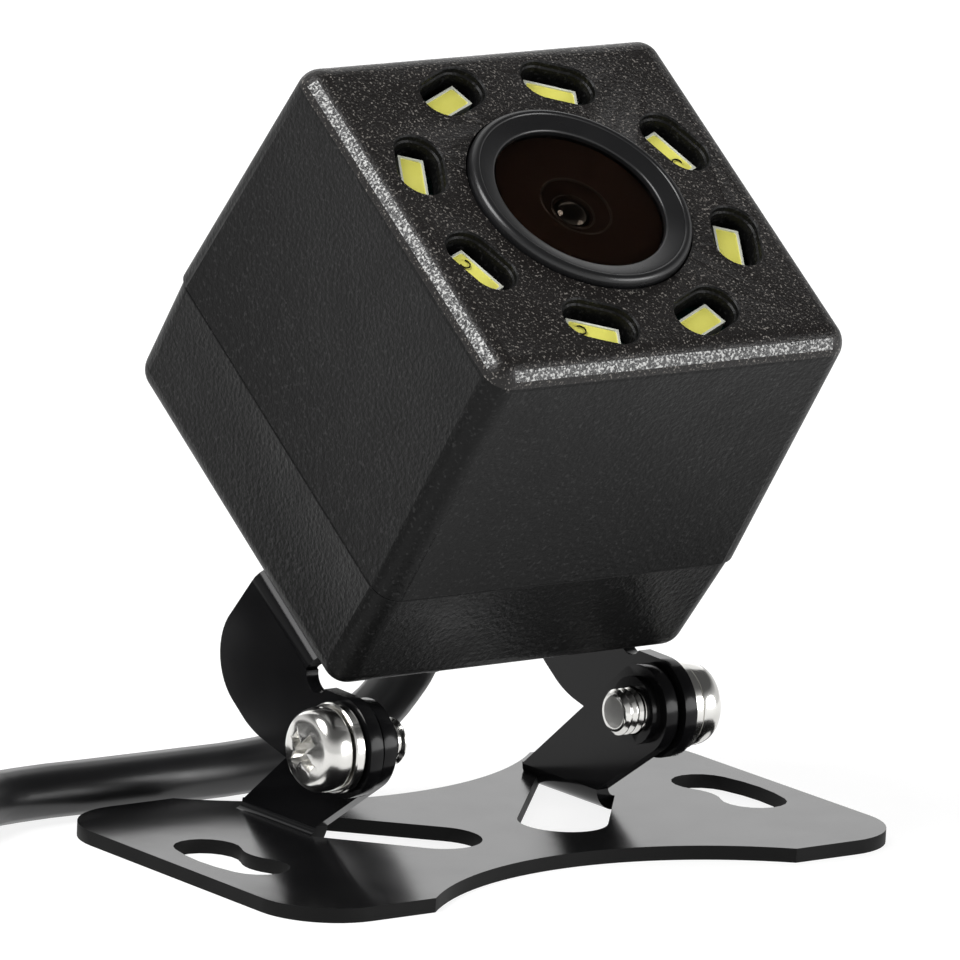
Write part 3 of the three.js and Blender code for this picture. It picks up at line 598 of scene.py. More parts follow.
def stadium_block(length: float, width: float, low: float, high: float, flare: Profile) -> Thing:
    """A block with round ends, its long way along X, widened in steps above its straight part.

    Args:
        length: Length over the round ends, in millimetres.
        width: Width, in millimetres.
        low: Height of its lower end.
        high: Height of its upper end before the flare.
        flare: Pairs of extra half-width and height above the straight part.

    Returns:
        The closed mesh.
    """
    middle_z = (high + low) / 2 * MM
    obj = primitive(
        "cylinder", vertices=48, radius=width / 2 * MM, depth=(high - low) * MM, location=(0, 0, middle_z)
    )
    reach = (length - width) / 2 * MM
    with editing(obj) as mesh:
        for side in Side:
            choose(obj, mesh.verts, lambda v: v.co.x * side.value > 1e-6)
            bpy.ops.transform.translate(value=(side.value * reach, 0, 0))
    radius, height = width / 2, high
    for extra, next_height in flare:
        with editing(obj, "FACE") as mesh:
            top = (height - 0.01) * MM
            choose(obj, mesh.faces, lambda f: f.normal.z > 0.9 and f.calc_center_median().z > top)
            pull(0, 0, (next_height - height) * MM)
            mesh = bmesh.from_edit_mesh(obj.data)
            new_radius = width / 2 + extra
            for vert in mesh.verts:
                if vert.select:
                    middle = math.copysign(reach, vert.co.x)
                    vert.co.x = middle + (vert.co.x - middle) * new_radius / radius
                    vert.co.y *= new_radius / radius
            bmesh.update_edit_mesh(obj.data)
        radius, height = new_radius, next_height
    return outward(obj)


def copy_of(obj: Thing) -> Thing:
    """A copy of an object with a mesh of its own."""
    twin = obj.copy()
    twin.data = obj.data.copy()
    bpy.context.scene.collection.objects.link(twin)
    return twin


def merged_copy(node: str) -> Thing:
    """A copy of a folded sheet's node with its triangles joined into whole faces."""
    twin = copy_of(frame["nodes"][node])
    for key in list(twin.keys()):
        del twin[key]
    twin.parent = None
    with editing(twin):
        bpy.ops.mesh.select_all(action="SELECT")
        bpy.ops.mesh.remove_doubles(threshold=1e-6)
        bpy.ops.mesh.dissolve_limited(angle_limit=math.radians(2))
    return twin


def strip(points: Profile, width: float, thickness: float) -> Thing:
    """A flat strap drawn along X and Z by extruding one edge from point to point, then given its thickness.

    Args:
        points: Places of the strap's middle as X and Z in millimetres.
        width: Its width along Y, in millimetres.
        thickness: Its thickness, in millimetres.

    Returns:
        The closed mesh.
    """
    strap = primitive("plane", size=width * MM)
    half = width / 2 * MM
    with editing(strap) as mesh:
        choose(strap, mesh.verts, lambda v: v.co.x > 0)
        bpy.ops.mesh.delete(type="VERT")
        bpy.ops.mesh.select_all(action="SELECT")
        bpy.ops.transform.translate(value=(points[0][0] * MM + half, 0, points[0][1] * MM))
        for (x, z), (next_x, next_z) in zip(points, points[1:]):
            pull((next_x - x) * MM, 0, (next_z - z) * MM)
    apply_modifier(strap, "SOLIDIFY", thickness=thickness * MM, offset=0.0)
    return outward(strap)


def dress(obj: Thing, *finishes: Finish) -> Thing:
    """Gives an object its finishes, one material slot each.

    Args:
        obj: The object.
        *finishes: The finishes in the order of the slots.

    Returns:
        The object.
    """
    obj.data.materials.clear()
    for finish in finishes:
        obj.data.materials.append(finish.build())
    return obj


def hand_over(
    obj: Thing, name: str, body: Body, replaces: Sequence[str] = ()
) -> Thing:
    """Names a finished piece, ties it to its body and hides the CAD nodes that it stands for.

    Args:
        obj: The piece.
        name: Its name.
        body: The body that it rides on.
        replaces: The CAD nodes that it stands for.

    Returns:
        The piece.
    """
    obj.name = name
    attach(obj, body.value)
    if replaces:
        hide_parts(*replaces)
    LOG.info("%s: %d faces", name, len(obj.data.polygons))
    return obj


# ---- places ----

TILT_AXIS = Vector(frame["joints"][0]["pos_m"])
CAMERA_PITCH = math.radians(35.34)
PIVOT_DROP = 13.95  # tilt axis below the middle of the housing
FACE_OFFSET = 26.89  # tilt axis behind the front face
CABLE_DROP = 5.75  # cable below the middle of the housing
HOUSING_DEPTH = 24.61
YOKE_SCREW_REACH = 7.0  # yoke screws to either side of the cable
CAMERA_PLACE = Matrix.Translation(TILT_AXIS) @ Matrix.Rotation(CAMERA_PITCH, 4, "X")
FACE_PLACE = CAMERA_PLACE @ Matrix.Translation((0, PIVOT_DROP * MM, FACE_OFFSET * MM))
CABLE_PLACE = FACE_PLACE @ Matrix.Translation((0, -CABLE_DROP * MM, 0))


# ---- camera view and set ----


@dataclass
class Studio:
    """The viewpoint, the pale floor and the soft light."""

    azimuth: float = -37.35
    elevation: float = 12.25
    roll: float = 2.86
    distance: float = 0.64755
    target: tuple[float, float, float] = (-0.00146, 0.0, 0.02018)
    lens: float = 447.2
    floor_size: float = 6.0
    card_glow: float = 0.86  # the card is lit from below, so that shadows on it stay faint
    sky: tuple[tuple[float, float], ...] = ((0.27, 1.0), (0.6, 0.12))  # height and brightness
    sky_strength: float = 0.75

    def build(self) -> None:
        """Builds the camera, the floor and the lights."""
        self.viewpoint()
        self.floor()
        self.surround()
        for name, direction, spread, strength in (
            ("key_light", (-0.62, 0.07, 0.78), 34, 2.9),
            ("front_light", (0.593, -0.80, 0.10), 34, 1.8),
            ("fill_light", (0.35, 0.75, 0.55), 60, 0.8),
        ):
            self.broad_light(name, Vector(direction), spread, strength)

    def viewpoint(self) -> None:
        """Adds the camera, aimed and rolled."""
        swing, rise = math.radians(self.azimuth), math.radians(self.elevation)
        back = Vector(
            (math.sin(swing) * math.cos(rise), -math.cos(swing) * math.cos(rise), math.sin(rise))
        )
        right = Vector((math.cos(swing), math.sin(swing), 0))
        up = back.cross(right)
        roll = math.radians(self.roll)
        right_rolled = math.cos(roll) * right + math.sin(roll) * up
        up_rolled = math.cos(roll) * up - math.sin(roll) * right
        bpy.ops.object.camera_add()
        camera = bpy.context.object
        rows = Matrix((right_rolled, up_rolled, back)).transposed().to_4x4()
        camera.matrix_world = Matrix.Translation(Vector(self.target) + back * self.distance) @ rows
        camera.data.sensor_width = 36
        camera.data.lens = self.lens
        camera.data.clip_start = 0.01
        camera.data.clip_end = 20
        bpy.context.scene.camera = camera

    def floor(self) -> None:
        """Adds the white card that the plate stands on."""
        card = primitive("plane", size=self.floor_size)
        with editing(card, "FACE"):
            bpy.ops.mesh.select_all(action="SELECT")
            bpy.ops.mesh.subdivide(number_cuts=3)
        card.name = "floor"
        shader = dress(card, CARD).data.materials[0].node_tree.nodes["Principled BSDF"]
        shader.inputs["Emission Color"].default_value = linear("#ffffff")
        shader.inputs["Emission Strength"].default_value = self.card_glow

    def surround(self) -> None:
        """Lights the scene from a white horizon that falls off towards the zenith."""
        world = bpy.data.worlds.new("studio")
        bpy.context.scene.world = world
        bpy.context.scene.view_settings.view_transform = "Standard"
        world.use_nodes = True
        tree = world.node_tree
        way = add_node(tree, "ShaderNodeTexCoord").outputs["Generated"]
        height = add_node(tree, "ShaderNodeSeparateXYZ", Vector=way).outputs["Z"]
        ramp = add_node(tree, "ShaderNodeValToRGB", Fac=height)
        for stop, (height, grey) in zip(ramp.color_ramp.elements, self.sky):
            stop.color = (grey, grey, grey, 1)
            stop.position = height
        background = tree.nodes["Background"]
        tree.links.new(ramp.outputs["Color"], background.inputs["Color"])
        background.inputs["Strength"].default_value = self.sky_strength

    def broad_light(self, name: str, direction: Vector, spread: float, strength: float) -> None:
        """Adds a far, broad light that reaches object and floor alike.

        Args:
            name: The light's name.
            direction: The way from the object to the light.
            spread: How wide it looks from the object, in degrees.
            strength: Its strength in watts per square metre.
        """
        bpy.ops.object.light_add(type="SUN", location=direction)
        light = bpy.context.object
        light.name = name
        light.rotation_euler = direction.to_track_quat("Z", "Y").to_euler()
        light.data.angle = math.radians(spread)
        light.data.energy = strength


# ---- cable ----


@dataclass
class Cable:
    """The lead: out of the camera, down to the surface, into its coil and on to its plug."""

    diameter: float = 3.0
    relief_end: float = 4.95  # end of the strain relief behind the rear face
    coil_centre: tuple[float, float] = (-43.5, 24.0)
    coil_mean_radius: float = 15.0
    coil_columns: int = 4
    coil_pitch: float = 3.05
    coil_entry: float = -48.0  # angle at which the lead joins the coil's outermost turn
    coil_exit: float = 35.0  # angle at which it leaves for the plug
    points_per_turn: int = 36
    rise_before: float = 45.0  # degrees before a change of layer at which the rise starts
    plug_tail: tuple[float, float] = (8.95, -4.0)  # from the coil's centre
    plug_height: float = 11.25
    plug_bend: float = 8.0
    sides: int = 20
    settled: tuple[float, float, float] = (-9.0, 13.8, 1.55)  # from here on the lead doesn't move
    line: list[Vector] = field(default_factory=list, init=False)  # filled by build()
    length: float = field(default=0.0, init=False)

    # The free stretch, point by point, as it lies.
    route = (
        (-0.5, 9.55, 5.3),
        (-1.7, 10.9, 3.75),
        (-3.9, 12.3, 2.35),
        (-6.9, 13.4, 1.7),
        (-10.4, 13.85, 1.55),
        (-14.0, 13.9, 1.55),
        (-17.4, 13.95, 1.55),
        (-20.4, 14.0, 1.55),
        (-24.4, 13.3, 1.55),
    )

    @property
    def outer_turn(self) -> float:
        """Radius of the outermost turn."""
        return self.coil_mean_radius + (self.coil_columns - 1) * self.coil_pitch / 2

    def behind_rear_face(self, distance: float) -> Vector:
        """A point on the cable's axis so many millimetres behind the rear face."""
        return (CABLE_PLACE @ Vector((0, 0, -(HOUSING_DEPTH + distance) * MM))) / MM

    def coil_points(self) -> list[Vector]:
        """The coil's turns, clockwise: in along the floor layer, up, and out again along the top layer."""
        inward = 360.0 * (self.coil_columns - 1)
        last = 2 * inward - (self.coil_exit - self.coil_entry)
        steps = int(last / 360 * self.points_per_turn)
        low = self.diameter / 2 + 0.05
        points = []
        for i in range(steps + 1):
            angle = last * i / steps
            radius = self.outer_turn - self.coil_pitch * (inward - abs(angle - inward)) / 360
            level = eased((angle - inward + self.rise_before) / 180) * self.coil_pitch
            lift = eased((angle - last + self.rise_before) / 90) * self.coil_pitch
            points.append(self.from_coil(self.coil_entry - angle, radius, low + level + lift))
        return points

    def from_coil(self, degrees: float, radius: float, height: float) -> Vector:
        """A point at an angle, radius and height about the coil's axis."""
        swing = math.radians(degrees)
        x, y = self.coil_centre
        return Vector((x + radius * math.cos(swing), y + radius * math.sin(swing), height))

    def path(self) -> list[Vector]:
        """The whole centreline in millimetres, from the strain relief to inside the plug's tail."""
        start = [self.behind_rear_face(self.relief_end + d) for d in (-1.0, 0.5, 2)]
        (x, y), (tail_x, tail_y) = self.coil_centre, self.plug_tail
        tail = Vector((x + tail_x, y + tail_y, 0))
        bend = tail + Vector((1.45, self.plug_bend, 0))
        over = []
        reach = self.plug_bend
        rise = ((25, 6.9), (-5, 7.85), (-26, 8.7), (-47, 9.55), (-69, 10.4), (-90, self.plug_height))
        for degrees, height in rise:
            swing = math.radians(degrees)
            over.append(bend + Vector((reach * math.cos(swing), reach * math.sin(swing), height)))
        over.append(tail + Vector((-3.0, 0.0, self.plug_height)))
        return [*start, *(Vector(p) for p in self.route), *self.coil_points(), *over]

    def build(self) -> Thing:
        """Returns:
            The cable.
        """
        points = [p * MM for p in self.path()]
        fine = smooth_line(points)
        cable = sweep(fine, self.diameter / 2 * MM, self.sides)
        dress(cable, CABLE_PVC)
        only(cable)
        bpy.ops.object.shade_smooth()
        cable.name = "cable"
        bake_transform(cable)
        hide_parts("cable_lead", "cable_coil", "cable_end")
        self.line = fine
        self.length = sum((b - a).length for a, b in zip(fine, fine[1:]))
        LOG.info("cable: %.3f m", self.length)
        return cable


def eased(share: float) -> float:
    """A share from 0 to 1, clipped and eased at both ends."""
    share = min(max(share, 0.0), 1.0)
    return share * share * (3 - 2 * share)


def smooth_line(points: Sequence[Vector], steps: int = 3) -> list[Vector]:
    """A smooth line through points.

    Args:
        points: The points, in order.
        steps: Pieces between one point and the next.

    Returns:
        The finer line, both ends included.
    """
    line = []
    ends = [points[0] * 2 - points[1], *points, points[-1] * 2 - points[-2]]
    for a, b, c, d in zip(ends, ends[1:], ends[2:], ends[3:]):
        for i in range(steps):
            t = i / steps
            squared = (2 * a - 5 * b + 4 * c - d) * t * t
            cubed = (3 * b - a - 3 * c + d) * t ** 3
            line.append(0.5 * (2 * b + (c - a) * t + squared + cubed))
    line.append(points[-1].copy())
    return line


def sweep(line: Sequence[Vector], radius: float, sides: int) -> Thing:
    """A round tube along a line, made as a curve and turned into a mesh.

    Args:
        line: The centreline.
        radius: The tube's radius.
        sides: Sides of its section.

    Returns:
        The closed mesh.
    """
    data = bpy.data.curves.new("line", "CURVE")
    data.dimensions = "3D"
    spline = data.splines.new("POLY")
    spline.points.add(len(line) - 1)
    for place, point in zip(spline.points, line):
        place.co = (*point, 1)
    data.bevel_depth = radius
    data.bevel_resolution = max(sides // 4 - 1, 1)
    data.use_fill_caps = True
    curve = bpy.data.objects.new("line", data)
    bpy.context.scene.collection.objects.link(curve)
    only(curve)
    bpy.ops.object.convert(target="MESH")
    return outward(bpy.context.object)


# ---- housing ----


@dataclass
class Housing:
    """The two shells of the cube, with the holes for the lens, the LEDs and the cable."""

    face_size: tuple[float, float] = (24.0, 23.54)
    parting_size: tuple[float, float] = (24.39, 24.81)
    cover_size: tuple[float, float] = (24.19, 24.61)
    rear_size: tuple[float, float] = (23.84, 24.10)
    shell_depth: float = 16.92
    depth: float = HOUSING_DEPTH
    seam: float = 0.16
    flat_area: float = 20.0
    edge_radius: float = 1.33
    wall: float = 1.6
    face_wall: float = 1.5
    led_circle: float = 9.3
    led_count: int = 8
    first_led: float = 112.5
    slot_size: tuple[float, float] = (4.2, 2.6)

    def drafted_block(
        self, near: tuple[float, float], far: tuple[float, float], near_z: float, far_z: float, radius: float
    ) -> Thing:
        """A block that narrows from one end to the other, its long edges and near end rounded.

        Args:
            near: Width and height at the rounded end.
            far: Width and height at the other end.
            near_z: Height of the rounded end.
            far_z: Height of the other end.
            radius: Edge radius, all in millimetres.

        Returns:
            The closed mesh.
        """
        block = primitive("cube", size=1)
        block.scale = (far[0] * MM, far[1] * MM, abs(near_z - far_z) * MM)
        block.location.z = (near_z + far_z) / 2 * MM
        settle(block)
        sign = 1 if near_z > far_z else -1
        with editing(block, "FACE") as mesh:
            choose(block, mesh.faces, lambda f: f.normal.z * sign > 0.9)
            bpy.ops.transform.resize(value=(near[0] / far[0], near[1] / far[1], 1))
        with editing(block, "EDGE") as mesh:
            far_edge = far_z * MM
            choose(
                block,
                mesh.edges,
                lambda e: not all(abs(v.co.z - far_edge) < 1e-6 for v in e.verts),
            )
            bpy.ops.mesh.bevel(offset=radius * MM, segments=10, affect="EDGES", clamp_overlap=False)
        return outward(block)

    def led_turns(self) -> list[float]:
        """The angle of each LED round the lens, in radians."""
        return [math.radians(self.first_led - 360 / self.led_count * i) for i in range(self.led_count)]

    def led_place(self, angle: float) -> Matrix:
        """Where a piece modelled at the lens axis goes for the LED at an angle."""
        return (
            Matrix.Rotation(angle, 4, "Z")
            @ Matrix.Translation((self.led_circle * MM, 0, 0))
            @ Matrix.Rotation(math.pi / 2, 4, "Z")
        )

    def front_shell(self) -> None:
        """The front shell: a drafted cup with the lens hole and eight flared slots."""
        shell = self.drafted_block(self.face_size, self.parting_size, 0, -self.shell_depth, self.edge_radius)
        inner = [
            (w - 2 * self.wall, h - 2 * self.wall) for w, h in (self.face_size, self.parting_size)
        ]
        cavity = self.drafted_block(inner[0], inner[1], -self.face_wall, -self.shell_depth - 1, 0.9)
        seat = turn([(6.62, -0.3), (6.62, 1.0)], 96)
        hole = turn([(5.95, -4.0), (5.95, 1.0)], 96)
        cutters = [cavity, seat, hole]
        flare = ((0.1, -0.34), (0.11, -0.09), (0.26, 0.06), (0.26, 1.0))
        slot = stadium_block(*self.slot_size, -4.0, -0.42, flare)
        for angle in self.led_turns():
            cutters.append(settle(copy_of(slot), self.led_place(angle)))
        discard(slot)
        carve(shell, *cutters)
        flatten(soften(shell, 0.07, 2, 40), self.flat_area)
        dress(shell, ABS_FACE, ABS_SIDE_SHADED, ABS_EDGE_PAINTED_HIGHLIGHT)
        left, low = (size / 2 * MM for size in self.face_size)
        for face in shell.data.polygons:
            x, y, z = (abs(c) for c in face.center)
            rim = self.edge_radius * MM
            # Inside the face's edges, the slot walls, their rims and the lens seat get the darker side finish:
            # painted shade in the recesses.
            if max(x - left, y - low) < -rim:
                face.material_index = 1 if z > 0.02 * MM or face.normal.z < 0.95 else 0
            # A band of the front edge rounds gets the edge finish with its painted highlight.
            elif z < rim and 0.45 < face.normal.z < 0.8 and min(x - left, y - low) < -rim:
                face.material_index = 2
            # Outside, the front gets the face finish and the sides the darker one, painted shade.
            else:
                face.material_index = 0 if face.normal.z > 0.12 else 1
        settle(shell, FACE_PLACE)
        hand_over(shell, "front_shell_body", Body.CAMERA, ["front_shell"])

    def rear_cover(self) -> None:
        """The rear cover: a shallow cup with the cable hole and two screw holes."""
        low, high = -self.depth, -self.shell_depth - self.seam
        cover = self.drafted_block(self.rear_size, self.cover_size, low, high, self.edge_radius)
        inner = (self.rear_size[0] - 5.3, self.rear_size[1] - 5.3)
        cavity = self.drafted_block(inner, inner, low + self.wall, high + 1, 0.9)
        drop = Matrix.Translation((0, -CABLE_DROP * MM, 0))
        cable_hole = settle(turn([(2.65, low - 1), (2.65, low + 3)]), drop)
        cutters = [cavity, cable_hole]
        for side in Side:
            place = Matrix.Translation((side.value * YOKE_SCREW_REACH * MM, -CABLE_DROP * MM, 0))
            cutters.append(settle(turn([(1.2, low - 1), (1.2, low + 3)], 32), place))
        carve(cover, *cutters)
        flatten(soften(cover, 0.09, 2, 40), self.flat_area)
        dress(cover, ABS_SIDE_SHADED)
        settle(cover, FACE_PLACE)
        hand_over(cover, "rear_cover_body", Body.CAMERA, ["rear_cover"])

    def build(self) -> None:
        """Builds both shells."""
        self.front_shell()
        self.rear_cover()


@dataclass
class LedLights:
    """The eight LED packages in the slots."""

    housing: Housing
    length: float = 3.1
    width: float = 1.5
    height: float = 0.8
    top: float = -1.0
    frame_width: float = 0.13
    wired: tuple[int, ...] = (3, 6, 7)  # packages whose bond wire shows
    wire_radius: float = 0.045
    hook: tuple[float, float, float] = (-0.75, 0.05, 0.3)  # middle and radius of the wire's hook
    recess: float = 0.07  # phosphor below the rim
    pad_size: tuple[float, float, float] = (0.35, 1.3, 0.12)

    def package(self) -> Thing:
        """One package at the lens axis: a white body with the phosphor let into its top."""
        body = primitive("cube", size=1)
        body.scale = (self.length * MM, self.width * MM, self.height * MM)
        body.location.z = (self.top - self.height / 2) * MM
        settle(body)
        with editing(body, "FACE") as mesh:
            choose(body, mesh.faces, lambda f: f.normal.z > 0.9)
            bpy.ops.mesh.inset(thickness=self.frame_width * MM)
            pull(0, 0, -self.recess * MM)
        with editing(body, "EDGE") as mesh:
            corner = (self.length / 2 - self.frame_width) * MM
            def upright(edge: bmesh.types.BMEdge) -> bool:
                first, second = (v.co for v in edge.verts)
                return abs(first.z - second.z) > 1e-5 and abs(abs(first.x) - corner) < 1e-5

            choose(body, mesh.edges, upright)
            bpy.ops.mesh.bevel(offset=0.18 * MM, segments=4, affect="EDGES")
        dress(body, LED_WHITE, PHOSPHOR, TIN)
        floor = (self.top - self.recess) * MM
        for face in body.data.polygons:
            if face.normal.z > 0.9 and abs(face.center.z - floor) < 1e-6:
                face.material_index = 1
        return body

    def pad(self, side: Side) -> Thing:
        """The tinned pad at one end of a package."""
        pad = primitive("cube", size=1)
        pad.scale = [size * MM for size in self.pad_size]
        pad.location = (side.value * (self.length / 2 + 0.12) * MM, 0, (self.top - self.height - 0.1) * MM)
        settle(pad)
        return soften(pad, 0.03)

    def wire(self) -> Thing:
        """A bond wire's hook over the phosphor, near one end."""
        x, y, radius = self.hook
        arc = [
            Vector((x + radius * math.cos(a), y + radius * math.sin(a), self.top + 0.01)) * MM
            for a in [math.radians(d) for d in range(-110, 131, 15)]
        ]
        return sweep(arc, self.wire_radius * MM, 8)

    def build(self) -> None:
        """Builds the packages, their pads and the bond wires."""
        package = self.package()
        for number, angle in enumerate(self.housing.led_turns(), 1):
            place = FACE_PLACE @ self.housing.led_place(angle)
            led = settle(copy_of(package), place)
            hand_over(smooth(led), f"led_{number}_package", Body.CAMERA, [f"led_{number}"])
            for side in Side:
                pad = dress(settle(self.pad(side), place), TIN)
                hand_over(pad, f"led_{number}_pad_{side.name.lower()}", Body.CAMERA)
            if number in self.wired:
                wire = dress(settle(self.wire(), place), BOND_WIRE)
                hand_over(smooth(wire, 60), f"led_{number}_wire", Body.CAMERA)
        bpy.data.objects.remove(package, do_unlink=True)


# ---- lens ----


@dataclass
class Lens:
    """The ring, the dome and what shows inside it."""

    ring_sides: int = 128

    def ring(self) -> None:
        """The raised ring: round outer edge, fine groove and a broad satin cone down to the opening."""
        profile = [
            (4.2, -3.2), (5.7, -3.2), (5.7, -0.2), (6.5, -0.2), (6.5, 0.12), (6.49, 0.24), (6.45, 0.36),
            (6.38, 0.45), (6.28, 0.52), (6.17, 0.55), (6.08, 0.545), (6.02, 0.52), (5.99, 0.47), (5.95, 0.47),
            (5.3, 0.27), (5.14, 0.23), (5.06, 0.2), (5.01, 0.14), (5.0, 0.05), (5.0, -2.25), (4.2, -2.25),
        ]
        ring = turn(profile, self.ring_sides, ring=True)
        settle(dress(smooth(ring, 40), LENS_RING), FACE_PLACE)
        hand_over(ring, "lens_ring_body", Body.CAMERA, ["lens_bezel"])

    def dome(self) -> None:
        """The coated front glass."""
        radius = 4.96
        over = [(radius * s / 12, 0.25 - 0.35 * (s / 12) ** 2) for s in range(1, 13)]
        under = [(radius * s / 12, 0.1 - 0.35 * (s / 12) ** 2) for s in range(1, 13)]
        glass = turn([*under, *reversed(over)], 96)
        dress(smooth(glass, 40), CoatedGlass())
        settle(glass, FACE_PLACE)
        hand_over(glass, "front_glass", Body.CAMERA, ["front_lens"])

    def inside(self) -> None:
        """The black dish behind the glass, its two turned steps and the small inner glass."""
        dish = turn(
            [
                (4.97, -0.7), (4.97, -0.32), (4.1, -0.37), (3.0, -0.43), (2.12, -0.47), (1.9, -0.7),
                (1.3, -0.92), (1.08, -0.98), (1.08, -1.4), (2.1, -1.2), (4.1, -0.8),
            ],
            96,
            ring=True,
        )
        settle(dress(smooth(dish), LENS_BLACK), FACE_PLACE)
        hand_over(dish, "lens_dish", Body.CAMERA)
        steps = (("outer_step", 2.06, -0.5, 0.07), ("inner_step", 1.24, -0.9, 0.06))
        around = [math.radians(45 * i) for i in range(8)]
        for name, radius, height, thick in steps:
            section = [(radius + thick * math.cos(a), height + thick * math.sin(a)) for a in around]
            step = turn(section, 96, ring=True)
            settle(dress(smooth(step, 60), LENS_STEP), FACE_PLACE)
            hand_over(step, f"lens_{name}", Body.CAMERA)
        profile = [(1.04, -1.4), (1.04, -1.1), (0.95, -0.95), (0.76, -0.78), (0.5, -0.66), (0.22, -0.61)]
        bead = turn(profile, 64)
        settle(dress(smooth(bead, 50), INNER_GLASS), FACE_PLACE)
        hand_over(bead, "inner_bead", Body.CAMERA)

    def build(self) -> None:
        """Builds the ring, the glass and the inside."""
        self.ring()
        self.dome()
        self.inside()


# ---- bracket and fasteners ----


@dataclass
class Bracket:
    """The folded base plate and yoke."""

    sheet: float = 0.8

    def build(self) -> None:
        """Breaks the edges of both folded sheets and paints them."""
        for node, body, edge_break in (("base_plate", Body.BASE, 0.1), ("yoke", Body.CAMERA, 0.28)):
            sheet = soften(merged_copy(node), edge_break, 3, 40)
            dress(sheet, BRACKET_PAINT, CUT_EDGE)
            for face in sheet.data.polygons:
                low = face.center.z < (self.sheet - 0.05) * MM
                face.material_index = int(low and abs(face.normal.z) < 0.5)
            hand_over(sheet, f"{node}_sheet", body, [node])


@dataclass
class PanScrew:
    """A pan head screw with a cross recess, modelled with its head up at z = 0."""

    head_radius: float
    head_height: float
    thread_radius: float
    length: float
    pitch: float
    threaded: float  # length of thread from the tip

    def profile(self) -> list[tuple[float, float]]:
        """The turned profile from the tip to the top of the head."""
        root = self.thread_radius - 0.2
        points = [(root - 0.25, -self.length), (root - 0.05, -self.length + 0.02)]
        z = -self.length + 0.06
        while z < -self.length + self.threaded:
            points += [(root, z), (self.thread_radius - 0.02, z + self.pitch * 0.38)]
            points += [(self.thread_radius - 0.02, z + self.pitch * 0.5), (root, z + self.pitch * 0.88)]
            z += self.pitch
        points += [(self.thread_radius - 0.05, z + 0.1), (self.thread_radius - 0.05, -0.05)]
        r, h = self.head_radius, self.head_height
        points += [(r - 0.12, 0.0), (r - 0.03, 0.05), (r, 0.14), (r, 0.34 * h)]
        crown = [math.radians(d) for d in range(0, 91, 15)]
        points += [(r - 0.34 * r * (1 - math.cos(a)) , 0.34 * h + 0.52 * h * math.sin(a)) for a in crown[1:]]
        points += [(0.45 * r, 0.95 * h), (0.2 * r, h - 0.005)]
        return points

    def build(self, sides: int = 64) -> Thing:
        """Models the screw.

        Returns:
            The closed mesh.
        """
        screw = turn(self.profile(), sides)
        for quarter in (0, 1):
            arm = primitive("cube", size=1)
            arm.scale = (1.25 * self.head_radius * MM, 0.34 * self.head_radius * MM, self.head_height * MM)
            arm.location.z = self.head_height * 1.06 * MM
            settle(arm)
            with editing(arm, "FACE") as mesh:
                choose(arm, mesh.faces, lambda f: f.normal.z < -0.9)
                bpy.ops.transform.resize(value=(0.68, 0.75, 1))
            settle(arm, Matrix.Rotation(math.radians(45 + 90 * quarter), 4, "Z"))
            carve(screw, arm)
        return smooth(soften(screw, 0.035, 2, 50), 40)


@dataclass
class Fasteners:
    """The two pivot screws, their washers and the yoke's two screws."""

    pivot_seat: float = 11.95  # underside of each pivot head from the middle
    washer_seat: float = 11.2
    yoke_seat: float = 0.98  # underside of each yoke screw's head from the tilt axis

    def pivot_place(self, side: Side, distance: float) -> Matrix:
        """Where a piece modelled along +Z goes on the tilt axis, so far from the middle."""
        turned = Matrix.Rotation(side.value * math.pi / 2, 4, "Y")
        return Matrix.Translation(TILT_AXIS + Vector((side.value * distance * MM, 0, 0))) @ turned

    def build(self) -> None:
        """Builds the screws and washers on both sides."""
        pivot = PanScrew(2.33, 1.85, 1.3, 4.52, 0.45, 2.6).build()
        small = PanScrew(1.8, 1.2, 0.95, 4.7, 0.4, 3.2).build(48)
        section = [
            (1.37, 0.02), (2.42, 0.02), (2.5, 0.1), (2.5, 0.55), (2.42, 0.64), (1.45, 0.64), (1.37, 0.56),
        ]
        washer = smooth(turn(section, 64, ring=True), 40)
        for side in Side:
            word = side.name.lower()
            screw = dress(settle(copy_of(pivot), self.pivot_place(side, self.pivot_seat)), NICKEL)
            hand_over(screw, f"pivot_screw_{word}_body", Body.BASE, [f"pivot_screw_{word}"])
            ring = dress(settle(copy_of(washer), self.pivot_place(side, self.washer_seat)), NICKEL)
            hand_over(ring, f"lock_washer_{word}_body", Body.BASE, [f"lock_washer_{word}"])
            seat = Matrix.Translation(
                (side.value * YOKE_SCREW_REACH * MM, (PIVOT_DROP - CABLE_DROP) * MM, self.yoke_seat * MM)
            )
            place = CAMERA_PLACE @ seat @ Matrix.Rotation(math.pi, 4, "Y")
            screw = dress(settle(copy_of(small), place), NICKEL)
            hand_over(screw, f"yoke_screw_{word}_body", Body.CAMERA, [f"yoke_screw_{word}"])
        discard(pivot, small, washer)


# ---- cable fittings ----


